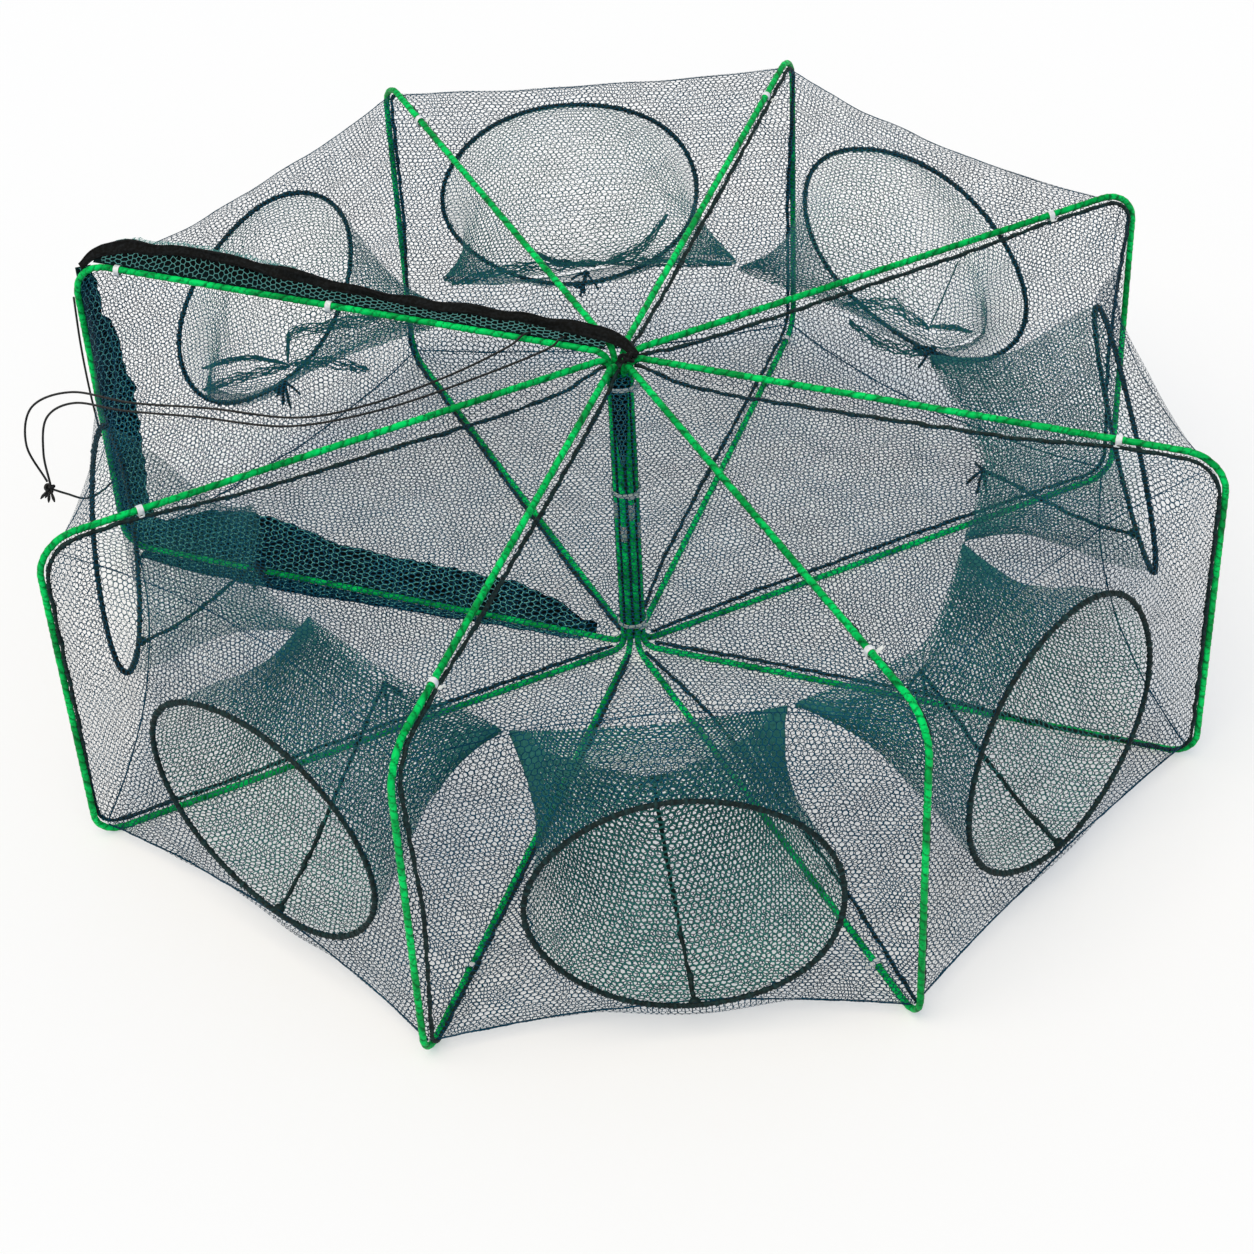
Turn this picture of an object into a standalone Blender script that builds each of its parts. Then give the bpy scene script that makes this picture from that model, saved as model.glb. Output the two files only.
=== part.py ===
"""Folding bait trap: eight wire loops that fan out round a centre column, netted between.

Metres, +Z up. The origin is on the floor, on the centre of the column. Each loop turns about
its own inner leg, and each leg is carried by the loop beside it, so the legs roll from a ring
into a row as the trap is folded flat.
"""

import math

import bmesh
import bpy
import numpy as np
from mathutils import Matrix, Vector

# Driving sizes of the wire loops.
LOOPS = 8
REACH = 0.465  # from the centre to the wire of an outer leg
HEIGHT = 0.300
WIRE = 0.0052  # steel wire with its green wrapping, across its flats
WIRE_SIDES = 8
LEG_GAP = 0.0010  # between neighbouring inner legs
FIRST_AZIMUTH = 112.5  # degrees, of loop 1; the others follow clockwise seen from above
HUB_BEND = 0.012
SHOULDER_BEND = 0.032
FOOT_BEND = 0.022
BEND_STEPS = 5

# Netting panels inside the loops, drawn coarser than the real mesh.
STRAND = 0.0030
STRAND_THICKNESS = 0.0012
NET_CLEARANCE = 0.0003  # from the wire
NET_SEAM = 0.0010  # between the panels of neighbouring bays
NET_HOLE = 0.022  # opening round the column
NET_COLUMNS = 3
NET_ROWS = 2
WALL_LEVELS = 4  # down each side of a wall, between its corners
NET_SAG = 0.010
EDGE_BOW = 0.034  # how far a free edge is drawn in between two loops
BOW_AT_BEND = 0.8  # share of that bow where the panel reaches the bend
WELD = 0.00001

# Entrance hoops and the funnels behind them.
HOOP_WIDTH = 0.224
HOOP_HEIGHT = 0.200
HOOP_CORD = 0.0034
HOOP_DROP = 0.002  # of its centre below half height
HOOP_SET_BACK = 0.0066  # behind the line between two outer legs
HOOP_POINTS = 20
HOOP_CLEARANCE = 0.0004
FUNNEL_CLOTH = 0.0008
FUNNEL_SIDES = 12
FUNNEL_SPANS = 3
SLIT_INSET = 0.167  # from the outer leg in to where a loop holds the slit's corner
SLIT_RISE = 0.034  # of the corners above the hoop's centre
SLIT_DROP = 0.052  # of the slit's middle below its corners
SLIT_GAP = 0.014
SLIT_SIDE_CLEARANCE = 0.003
SLIT_PLAN_POWER = 0.8  # under 1 it spreads the slit's points towards its corners
SLIT_LIP_POWER = 0.6  # under 1 it keeps the lips apart nearly to the corners

# Clear sleeves over the wires' joints, and clear ties round the column.
SLEEVE_LENGTH = 0.016
SLEEVE_WALL = 0.00025
SLEEVE_CLEARANCE = 0.00015
SLEEVE_HEIGHTS = (0.128, 0.150)
COLUMN_TIE_WIDTH = 0.0036
COLUMN_TIE_THICKNESS = 0.0011
COLUMN_TIE_CLEARANCE = 0.0004
COLUMN_TIE_SIDES = 16
TOP_TIE_DROP = 0.027
MIDDLE_TIE_HEIGHT = 0.168
BOTTOM_TIE_HEIGHT = 0.031

# White ties that hold the netting to the upper arms.
TIE_WIDTH = 0.0048
TIE_THICKNESS = 0.0008
TIE_CLEARANCE = 0.0003
TIE_CROWN_STEPS = 6
TIE_INSET = 0.080  # from the outer leg
MOUTH_TIE_INSETS = (0.225, 0.041)

# The drawstring mouth along loop 8: its taped hem, the netting cuff and the tail on the column.
HEM_WIDTH = 0.021
HEM_THICKNESS = 0.0030
HEM_GAP = 0.0012  # from the tie on the arm
HEM_TILT = 24.0
HEM_START = 0.036
HEM_RUN_OUT = 0.030  # from the hem's end to the outer leg
HEM_STEPS = 8
HEM_DROOP = 0.25  # of the outer end, as a share of the width
HEM_TAPER = 0.35  # of the outer end, as a share of the width
HEM_END_POWER = 6  # the higher, the shorter the drooping end
CUFF_WIDTH = 0.036
CUFF_THICKNESS = 0.0012
CUFF_TILT = 35.0
CUFF_CLEARANCE = 0.0022  # inside the net edges, which cut across the bends
CUFF_TOP_DROP = 0.038
CUFF_HUB_REACH = 0.034
CUFF_CORNER = 0.0050  # radius of the inner edge where the leg's strip meets the arm's
CUFF_LEG_STEPS = 4
CUFF_ARM_STEPS = 10
TAIL_TOP_DROP = 0.016
TAIL_LENGTH = 0.070
TAIL_HALF_ANGLE = 42.0
TAIL_SPREADS = (1.0, 0.8, 0.35)  # shares of that angle from its top to its end
TAIL_AZIMUTH = -84.0
TAIL_THICKNESS = 0.0012
TAIL_STEPS = 6

# The drawstring, laid by hand over the netting and out past the wall between loops 7 and 8.
CORD = 0.0018
CORD_POINT_SPACING = 0.017
ROUTE_STEPS = 20  # fine steps between two points of a route
KNOT_CENTRE = (-0.4460, -0.0060, 0.2130)
KNOT_SIZE = (0.0085, 0.0100, 0.0085)
PULL_ROUTE_1 = (
    (-0.0640, 0.0330, 0.3008),
    (-0.0720, 0.0262, 0.3030),
    (-0.0850, 0.0170, 0.2990),
    (-0.1300, -0.0040, 0.2920),
    (-0.1900, -0.0290, 0.2890),
    (-0.2450, -0.0400, 0.2895),
    (-0.3100, -0.0250, 0.2925),
    (-0.3700, -0.0160, 0.2965),
    (-0.4150, -0.0020, 0.3000),
    (-0.4480, 0.0020, 0.2860),
    (-0.4580, 0.0000, 0.2520),
    (-0.4475, -0.0035, 0.2176),
)
PULL_ROUTE_2 = (
    (-0.0385, 0.0210, 0.3026),
    (-0.0440, 0.0165, 0.3040),
    (-0.0560, 0.0075, 0.3010),
    (-0.1100, -0.0110, 0.2930),
    (-0.1800, -0.0370, 0.2895),
    (-0.2500, -0.0500, 0.2895),
    (-0.3200, -0.0350, 0.2930),
    (-0.3750, -0.0260, 0.2970),
    (-0.4120, -0.0140, 0.2985),
    (-0.4360, -0.0100, 0.2840),
    (-0.4440, -0.0110, 0.2520),
    (-0.4445, -0.0085, 0.2176),
)
PULL_ROUTE_3 = (
    (-0.4456, -0.0025, 0.2093),
    (-0.4420, 0.0350, 0.1740),
    (-0.4395, 0.0900, 0.1250),
    (-0.4370, 0.1500, 0.0840),
    (-0.4310, 0.1748, 0.0740),
)
LEG_CORD_STAND_OFFS = (0.00075, 0.0030, 0.0030, 0.00075)  # from the outer leg, top to bottom
LEG_CORD_DROP = 0.038
LEG_CORD_LENGTH = 0.142

STEP_ANGLE = 2 * math.pi / LOOPS
HALF = STEP_ANGLE / 2
RING = (WIRE + LEG_GAP) / (2 * math.sin(HALF))
WIRE_RADIUS = WIRE / 2
TOP_LINE = HEIGHT - WIRE_RADIUS
NET_OFFSET = WIRE_RADIUS + NET_CLEARANCE + STRAND_THICKNESS / 2
UPPER_NET = TOP_LINE - NET_OFFSET
LOWER_NET = WIRE_RADIUS + NET_OFFSET
HOOP_CENTRE_HEIGHT = HEIGHT / 2 - HOOP_DROP
HOOP_APOTHEM = REACH * math.cos(HALF) - HOOP_SET_BACK
MOUTH_LOOP = LOOPS


def clear_scene():
    for item in list(bpy.data.objects):
        bpy.data.objects.remove(item)


def material(name, colour, roughness, metallic=0.0, alpha=1.0):
    made = bpy.data.materials.new(name)
    made.use_nodes = True
    shader = made.node_tree.nodes["Principled BSDF"]
    shader.inputs["Base Color"].default_value = (*colour, 1.0)
    shader.inputs["Roughness"].default_value = roughness
    shader.inputs["Metallic"].default_value = metallic
    shader.inputs["Alpha"].default_value = alpha
    made.diffuse_color = (*colour, alpha)
    return made


def azimuth(loop):
    return math.radians(FIRST_AZIMUTH) - (loop - 1) * STEP_ANGLE


def turned(angle, out=0.0):
    """A world matrix: turned about the column, then moved out along the turned X."""
    return Matrix.Rotation(angle, 4, "Z") @ Matrix.Translation((out, 0, 0))


def add(name, data, matrix, parent=None):
    """An object at a world place, held by a hinge whose own world place is known."""
    item = bpy.data.objects.new(name, data)
    bpy.context.scene.collection.objects.link(item)
    if parent:
        item.parent = parent[0]
        item.matrix_local = parent[1].inverted() @ matrix
    else:
        item.matrix_local = matrix
    return item


def smooth(mesh, angle=35):
    mesh.shade_smooth()
    mesh.set_sharp_from_angle(angle=math.radians(angle))


def cord_data(name, points, diameter, closed, look, resolution=2):
    """A cord or wire along points, as a curve whose bevel has a flat side down and is diameter across."""
    sides = 2 * resolution + 4
    curve = bpy.data.curves.new(name, "CURVE")
    curve.dimensions = "3D"
    curve.bevel_depth = diameter / 2 / math.cos(math.pi / sides)
    curve.bevel_resolution = resolution
    curve.use_fill_caps = not closed
    spline = curve.splines.new("POLY")
    spline.points.add(len(points) - 1)
    for target, point in zip(spline.points, points):
        target.co = (*point, 1.0)
        target.tilt = math.pi / sides
    spline.use_cyclic_u = closed
    curve.materials.append(look)
    return curve


def sheet_data(name, rows, look, closed=False):
    """A surface of quads through rows of points. Closed joins each row's ends."""
    across = len(rows[0])
    spans = across if closed else across - 1
    faces = []
    for row in range(len(rows) - 1):
        for column in range(spans):
            here = row * across + column
            beside = row * across + (column + 1) % across
            faces.append((here, beside, beside + across, here + across))
    mesh = bpy.data.meshes.new(name)
    mesh.from_pydata([point for row in rows for point in row], [], faces)
    mesh.materials.append(look)
    smooth(mesh)
    return mesh


def thicken(item, thickness):
    modifier = item.modifiers.new("thickness", "SOLIDIFY")
    modifier.thickness = thickness
    modifier.offset = 0
    modifier.use_even_offset = True
    return item


def arc(centre_x, centre_z, radius, start, end, steps):
    """Points in the XZ plane, from one angle in degrees to another."""
    angles = [math.radians(start + (end - start) * i / steps) for i in range(steps + 1)]
    return [(centre_x + radius * math.cos(a), 0, centre_z + radius * math.sin(a)) for a in angles]


def loop_outline(inset=0.0):
    """The wire's centre line in its own plane, X out from the column's centre, or inside it."""
    shoulder = SHOULDER_BEND - inset
    foot = FOOT_BEND - inset
    hub = HUB_BEND - inset
    inner = RING + HUB_BEND
    low = WIRE_RADIUS
    upper_hub = arc(inner, TOP_LINE - HUB_BEND, hub, 180, 90, BEND_STEPS)
    upper_out = arc(REACH - SHOULDER_BEND, TOP_LINE - SHOULDER_BEND, shoulder, 90, 0, BEND_STEPS)
    lower_out = arc(REACH - FOOT_BEND, low + FOOT_BEND, foot, 0, -90, BEND_STEPS)
    lower_hub = arc(inner, low + HUB_BEND, hub, 270, 180, BEND_STEPS)
    return upper_hub, upper_out, lower_out, lower_hub


def make_hinges():
    """A hinge on each inner leg, each held by the leg beside it, out to both sides of loop 5."""
    root = LOOPS // 2 + 1
    places = {loop: turned(azimuth(loop), RING) for loop in range(1, LOOPS + 1)}
    hinges = {root: (add(f"leg_axis_{root}", None, places[root]), places[root])}
    for loop in (*range(root - 1, 0, -1), *range(root + 1, LOOPS + 1)):
        carrier = loop + 1 if loop < root else loop - 1
        hinge = add(f"leg_axis_{loop}", None, places[loop], hinges[carrier])
        hinges[loop] = (hinge, places[loop])
    return hinges


def carrier_of_bay(bay):
    """A bay between loops 1 to 8 moves with its first loop, the one behind the mouth with loop 1."""
    return 1 if bay == MOUTH_LOOP else bay


def make_loops(hinges, look):
    outline = [Vector(p) - Vector((RING, 0, 0)) for bend in loop_outline() for p in bend]
    wire = cord_data("wire_loop", outline, WIRE, True, look, resolution=WIRE_SIDES // 2 - 2)
    for loop, hinge in hinges.items():
        add(f"frame_{loop}", wire, hinge[1], hinge)


def circle_rows(radius, heights, sides):
    """Rings of points whose sides, and not their corners, lie at the radius."""
    corner = radius / math.cos(math.pi / sides)
    angles = [2 * math.pi * (i + 0.5) / sides for i in range(sides)]
    return [[(corner * math.cos(a), corner * math.sin(a), z) for a in angles] for z in heights]


def make_sleeves(hinges, look):
    """A thin clear sleeve over the joint in each inner leg, neighbours at unlike heights."""
    radius = WIRE_RADIUS + SLEEVE_CLEARANCE + SLEEVE_WALL / 2
    rows = circle_rows(radius, (-SLEEVE_LENGTH / 2, SLEEVE_LENGTH / 2), WIRE_SIDES)
    sleeve = sheet_data("joint_sleeve", rows, look, closed=True)
    for loop, hinge in hinges.items():
        height = SLEEVE_HEIGHTS[loop % 2]
        place = hinge[1] @ Matrix.Translation((0, 0, height))
        thicken(add(f"sleeve_{loop}", sleeve, place, hinge), SLEEVE_WALL)


def make_column_ties(root, look):
    """Clear ties round the eight inner legs. The top one also holds the netting's tail."""
    legs = RING + WIRE_RADIUS + COLUMN_TIE_CLEARANCE
    over_tail = legs + TAIL_THICKNESS + 2 * COLUMN_TIE_CLEARANCE
    ties = {
        "hub_tie_top": (over_tail, HEIGHT - TOP_TIE_DROP),
        "hub_tie_middle": (legs, MIDDLE_TIE_HEIGHT),
        "hub_tie_bottom": (legs, BOTTOM_TIE_HEIGHT),
    }
    edges = (-COLUMN_TIE_WIDTH / 2, COLUMN_TIE_WIDTH / 2)
    for name, (inner, height) in ties.items():
        rows = circle_rows(inner + COLUMN_TIE_THICKNESS / 2, edges, COLUMN_TIE_SIDES)
        ring = sheet_data(name, rows, look, closed=True)
        thicken(add(name, ring, Matrix.Translation((0, 0, height)), root), COLUMN_TIE_THICKNESS)


def make_arm_ties(hinges, look):
    """White ties round each upper arm and the net edges below it."""
    half = WIRE_RADIUS + TIE_CLEARANCE + TIE_THICKNESS / 2
    below = NET_OFFSET + STRAND_THICKNESS / 2 + TIE_CLEARANCE + TIE_THICKNESS / 2
    angles = [math.pi * i / TIE_CROWN_STEPS for i in range(TIE_CROWN_STEPS + 1)]
    crown = [(half * math.cos(a), half * math.sin(a)) for a in angles]
    section = [*crown, (-half, -below), (half, -below)]
    rows = [[(x, y, z) for y, z in section] for x in (-TIE_WIDTH / 2, TIE_WIDTH / 2)]
    tie = sheet_data("arm_tie", rows, look, closed=True)
    for loop, hinge in hinges.items():
        insets = MOUTH_TIE_INSETS if loop == MOUTH_LOOP else (TIE_INSET,)
        for number, inset in enumerate(insets, start=1):
            name = f"arm_tie_{loop}" if number == 1 else f"arm_tie_{loop}_outer"
            place = turned(azimuth(loop), REACH - inset) @ Matrix.Translation((0, 0, TOP_LINE))
            thicken(add(name, tie, place, hinge), TIE_THICKNESS)


def bay_point(reach, side, height, bow=0.0, sag=0.0):
    """A point in a bay's own axes: reach along a loop's plane, side from -1 to 1 across the bay."""
    seam = NET_SEAM / 2
    x = reach * math.cos(HALF) + seam * math.sin(HALF)
    y = side * (reach * math.sin(HALF) - seam * math.cos(HALF))
    middle = 1 - side * side
    return (x - bow * middle, y, height - sag * middle)


def hoop_point(angle, margin=0.0, apothem=HOOP_APOTHEM):
    y = (HOOP_WIDTH / 2 + margin) * math.cos(angle)
    z = HOOP_CENTRE_HEIGHT + (HOOP_HEIGHT / 2 + margin) * math.sin(angle)
    return (apothem, y, z)


def panel_rows(bend, net_height, direction, sag):
    """Rows of net points from the column out to the bend at the edge of the wall."""
    sides = [-1 + 2 * i / NET_COLUMNS for i in range(NET_COLUMNS + 1)]
    straight = REACH - bend
    rows = []
    for i in range(NET_ROWS + 1):
        share = i / NET_ROWS
        reach = NET_HOLE + (straight - NET_HOLE) * share
        bow = EDGE_BOW * BOW_AT_BEND * share * share
        hang = sag * math.sin(math.pi * share)
        rows.append([bay_point(reach, s, net_height, bow, hang) for s in sides])
    corner = (bend - NET_OFFSET) * math.sqrt(0.5)
    height = net_height - direction * (bend - NET_OFFSET - corner)
    rows.append([bay_point(straight + corner, s, height, EDGE_BOW) for s in sides])
    return rows


def add_quad(mesh, *corners):
    mesh.faces.new([mesh.verts.new(corner) for corner in corners])


def net_surface():
    """One bay's netting: upper panel, wall with the hoop's hole, and lower panel, as coarse quads."""
    upper = panel_rows(SHOULDER_BEND, UPPER_NET, 1, NET_SAG)
    lower = panel_rows(FOOT_BEND, LOWER_NET, -1, 0)
    inside = REACH - NET_OFFSET
    high = TOP_LINE - SHOULDER_BEND
    low = WIRE_RADIUS + FOOT_BEND
    levels = [high + (low - high) * i / (WALL_LEVELS - 1) for i in range(WALL_LEVELS)]
    right = [bay_point(inside, 1, z) for z in levels]
    left = [bay_point(inside, -1, z) for z in reversed(levels)]
    rim = [*upper[-1], *right, *reversed(lower[-1]), *left]
    corners = len(rim)
    chord_sag = HOOP_WIDTH / 2 * (1 / math.cos(math.pi / corners) - 1)
    margin = HOOP_CORD / 2 + HOOP_CLEARANCE + chord_sag
    first = math.pi / 2 + math.pi * NET_COLUMNS / corners
    hole = [hoop_point(first - 2 * math.pi * i / corners, margin) for i in range(corners)]
    net = bmesh.new()
    for rows in (upper, lower):
        for near, far in zip(rows, rows[1:]):
            for i in range(NET_COLUMNS):
                add_quad(net, near[i], near[i + 1], far[i + 1], far[i])
    for i in range(corners):
        beside = (i + 1) % corners
        add_quad(net, rim[i], rim[beside], hole[beside], hole[i])
    bmesh.ops.remove_doubles(net, verts=net.verts, dist=WELD)
    bmesh.ops.recalc_face_normals(net, faces=net.faces)
    return net


def make_nets(hinges, look):
    """Each bay's netting: strands left round an inset gap in every quad, then thickened."""
    net = net_surface()
    faces = list(net.faces)
    bmesh.ops.inset_individual(net, faces=faces, thickness=STRAND / 2, use_even_offset=True)
    bmesh.ops.delete(net, geom=faces, context="FACES")
    mesh = bpy.data.meshes.new("bay_net")
    net.to_mesh(mesh)
    net.free()
    mesh.materials.append(look)
    for bay in range(1, LOOPS + 1):
        place = turned(azimuth(bay) - HALF)
        thicken(add(f"net_{bay}", mesh, place, hinges[carrier_of_bay(bay)]), STRAND_THICKNESS)


def make_hoops(hinges, look):
    """The soft oval ring in each bay's wall that keeps the entrance open."""
    points = [hoop_point(2 * math.pi * i / HOOP_POINTS) for i in range(HOOP_POINTS)]
    hoop = cord_data("entrance_hoop", points, HOOP_CORD, True, look, resolution=1)
    for bay in range(1, LOOPS + 1):
        add(f"hoop_{bay}", hoop, turned(azimuth(bay) - HALF), hinges[carrier_of_bay(bay)])


def slit_point(angle):
    """A point of the funnel's inner slit, held at both loops and hanging between them."""
    reach = REACH - SLIT_INSET
    half = reach * math.sin(HALF) - SLIT_SIDE_CLEARANCE
    share = math.copysign(abs(math.cos(angle)) ** SLIT_PLAN_POWER, math.cos(angle))
    lip = math.copysign(abs(math.sin(angle)) ** SLIT_LIP_POWER, math.sin(angle))
    hang = SLIT_DROP * (1 - share * share)
    height = HOOP_CENTRE_HEIGHT + SLIT_RISE - hang + SLIT_GAP / 2 * lip
    return (reach * math.cos(HALF), half * share, height)


def make_funnels(hinges, look):
    """Net funnels that narrow from each hoop to a flat slit, drawn in slightly between."""
    behind = HOOP_APOTHEM - HOOP_CORD / 2 - HOOP_CLEARANCE - FUNNEL_CLOTH
    rows = []
    for span in range(FUNNEL_SPANS + 1):
        share = span / FUNNEL_SPANS
        pull = share * share * (3 - 2 * share)
        row = []
        for side in range(FUNNEL_SIDES):
            angle = 2 * math.pi * side / FUNNEL_SIDES
            wide = Vector(hoop_point(angle, 0, behind))
            narrow = Vector(slit_point(angle))
            x = wide.x + (narrow.x - wide.x) * share
            y = wide.y + (narrow.y - wide.y) * pull
            z = wide.z + (narrow.z - wide.z) * pull
            row.append((x, y, z))
        rows.append(row)
    funnel = sheet_data("entrance_funnel", rows, look, closed=True)
    for bay in range(1, LOOPS + 1):
        place = turned(azimuth(bay) - HALF)
        thicken(add(f"funnel_{bay}", funnel, place, hinges[carrier_of_bay(bay)]), FUNNEL_CLOTH)


def make_hem(hinge, look):
    """The taped hem beside loop 8's upper arm, tilted up away from it, with a drooping outer end."""
    start = WIRE_RADIUS + TIE_CLEARANCE + TIE_THICKNESS + HEM_GAP
    tilt = math.radians(HEM_TILT)
    end = REACH - HEM_RUN_OUT
    low = TOP_LINE - WIRE_RADIUS + HEM_THICKNESS / 2
    rows = []
    for i in range(HEM_STEPS + 1):
        share = i / HEM_STEPS
        ending = share**HEM_END_POWER
        reach = HEM_START + (end - HEM_START) * share
        width = HEM_WIDTH * (1 - HEM_TAPER * ending)
        across = width * math.cos(tilt)
        up = width * math.sin(tilt) - HEM_DROOP * HEM_WIDTH * ending
        rows.append([(reach, -start - across * t, low + up * t) for t in (0, 0.5, 1)])
    hem = sheet_data("mouth_hem", rows, look)
    thicken(add("mouth_hem", hem, turned(azimuth(MOUTH_LOOP)), hinge), HEM_THICKNESS)


def points_towards(start, end, count):
    """Even points from the start towards the end, without the end."""
    return [Vector(start).lerp(Vector(end), i / count) for i in range(count)]


def make_cuff(hinge, look):
    """The netting cuff just inside loop 8: down its outer leg, round a mitred corner, along its arm."""
    inset = NET_OFFSET + STRAND_THICKNESS / 2 + CUFF_CLEARANCE + CUFF_THICKNESS
    lower_out = loop_outline(inset)[2]
    leg_reach, arm_height = lower_out[0][0], lower_out[-1][2]
    tilt = math.radians(CUFF_TILT)
    far = CUFF_WIDTH * math.cos(tilt)
    back = CUFF_WIDTH * math.sin(tilt)
    corner_reach = leg_reach - far - CUFF_CORNER
    corner_height = arm_height + far + CUFF_CORNER
    leg_end = (leg_reach, 0, corner_height)
    arm_end = (corner_reach, 0, arm_height)
    leg = points_towards((leg_reach, 0, HEIGHT - CUFF_TOP_DROP), leg_end, CUFF_LEG_STEPS)
    arm = points_towards((CUFF_HUB_REACH, 0, arm_height), arm_end, CUFF_ARM_STEPS)
    corner = [leg_end, *lower_out, arm_end]
    rows = [[tuple(edge), tuple(edge + Vector((-far, -back, 0)))] for edge in leg]
    for number, edge in enumerate(corner):
        turn = math.pi / 2 * number / (len(corner) - 1)
        out = corner_reach + CUFF_CORNER * math.cos(turn)
        up = corner_height - CUFF_CORNER * math.sin(turn)
        rows.append([tuple(edge), (out, -back, up)])
    rows += [[tuple(edge), tuple(edge + Vector((0, -back, far)))] for edge in reversed(arm)]
    cuff = sheet_data("mouth_cuff", rows, look)
    thicken(add("mouth_cuff", cuff, turned(azimuth(MOUTH_LOOP)), hinge), CUFF_THICKNESS)


def make_tail(root, look):
    """The end of the cuff, gathered down the front of the column under the top tie."""
    radius = RING + WIRE_RADIUS + COLUMN_TIE_CLEARANCE + TAIL_THICKNESS / 2
    rows = []
    for number, spread in enumerate(TAIL_SPREADS):
        height = HEIGHT - TAIL_TOP_DROP - TAIL_LENGTH * number / (len(TAIL_SPREADS) - 1)
        row = []
        for i in range(TAIL_STEPS + 1):
            side = 2 * i / TAIL_STEPS - 1
            angle = math.radians(TAIL_AZIMUTH + TAIL_HALF_ANGLE * spread * side)
            row.append((radius * math.cos(angle), radius * math.sin(angle), height))
        rows.append(row)
    thicken(add("mouth_tail", sheet_data("mouth_tail", rows, look), Matrix(), root), TAIL_THICKNESS)


def smooth_route(points):
    """Even points on a Catmull-Rom curve through a route's own points."""
    knots = np.array(points)
    knots = np.vstack([2 * knots[0] - knots[1], knots, 2 * knots[-1] - knots[-2]])
    t = np.linspace(0, 1, ROUTE_STEPS, endpoint=False)[:, None]
    spans = []
    for a, b, c, d in zip(knots, knots[1:], knots[2:], knots[3:]):
        square = 2 * a - 5 * b + 4 * c - d
        cube = 3 * b - a - 3 * c + d
        spans.append(b + ((c - a) * t + square * t**2 + cube * t**3) / 2)
    fine = np.vstack([*spans, knots[-2]])
    steps = np.linalg.norm(np.diff(fine, axis=0), axis=1)
    along = np.concatenate([[0], np.cumsum(steps)])
    even = np.linspace(0, along[-1], max(2, round(along[-1] / CORD_POINT_SPACING)) + 1)
    return np.column_stack([np.interp(even, along, fine[:, i]) for i in range(3)])


def make_drawstring(hinges, look):
    """Two strands from the hem to the knot, one on to loop 8's leg, and one down that leg."""
    out = REACH + WIRE_RADIUS + CORD / 2
    leg = turned(azimuth(MOUTH_LOOP))
    last = len(LEG_CORD_STAND_OFFS) - 1
    leg_route = []
    for i, stand_off in enumerate(LEG_CORD_STAND_OFFS):
        height = HEIGHT - LEG_CORD_DROP - LEG_CORD_LENGTH * i / last
        leg_route.append(leg @ Vector((out + stand_off, 0, height)))
    routes = {
        "pull_cord_1": PULL_ROUTE_1,
        "pull_cord_2": PULL_ROUTE_2,
        "pull_cord_3": PULL_ROUTE_3,
        "leg_cord": leg_route,
    }
    for name, route in routes.items():
        cord = cord_data(name, smooth_route(route), CORD, False, look)
        add(name, cord, Matrix(), hinges[1])


def make_knot(hinge, look):
    knot = bmesh.new()
    shape = Matrix.Diagonal((*KNOT_SIZE, 1))
    bmesh.ops.create_icosphere(knot, subdivisions=2, radius=0.5, matrix=shape)
    mesh = bpy.data.meshes.new("drawstring_knot")
    knot.to_mesh(mesh)
    knot.free()
    mesh.materials.append(look)
    smooth(mesh)
    add("drawstring_knot", mesh, Matrix.Translation(KNOT_CENTRE), hinge)


def main():
    clear_scene()
    green = material("green_wrapping", (0.0, 0.42, 0.10), 0.42)
    clear = material("clear_plastic", (0.80, 0.86, 0.86), 0.25, alpha=0.5)
    white = material("white_tie", (0.86, 0.88, 0.88), 0.45)
    netting = material("blue_green_netting", (0.035, 0.11, 0.13), 0.8)
    funnel_netting = material("dense_green_netting", (0.02, 0.14, 0.13), 0.8)
    rubber = material("dark_hoop", (0.008, 0.035, 0.032), 0.6)
    tape = material("black_tape", (0.006, 0.007, 0.007), 0.55)
    coarse = material("coarse_netting", (0.02, 0.16, 0.14), 0.7)
    string = material("black_cord", (0.008, 0.009, 0.008), 0.6)
    hinges = make_hinges()
    root = hinges[LOOPS // 2 + 1]
    make_loops(hinges, green)
    make_sleeves(hinges, clear)
    make_column_ties(root, clear)
    make_arm_ties(hinges, white)
    make_nets(hinges, netting)
    make_hoops(hinges, rubber)
    make_funnels(hinges, funnel_netting)
    make_hem(hinges[1], tape)
    make_cuff(hinges[1], coarse)
    make_tail(root, coarse)
    make_drawstring(hinges, string)
    make_knot(hinges[1], string)


main()
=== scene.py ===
import bpy
import numpy as np
from mathutils import Matrix, Vector


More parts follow.
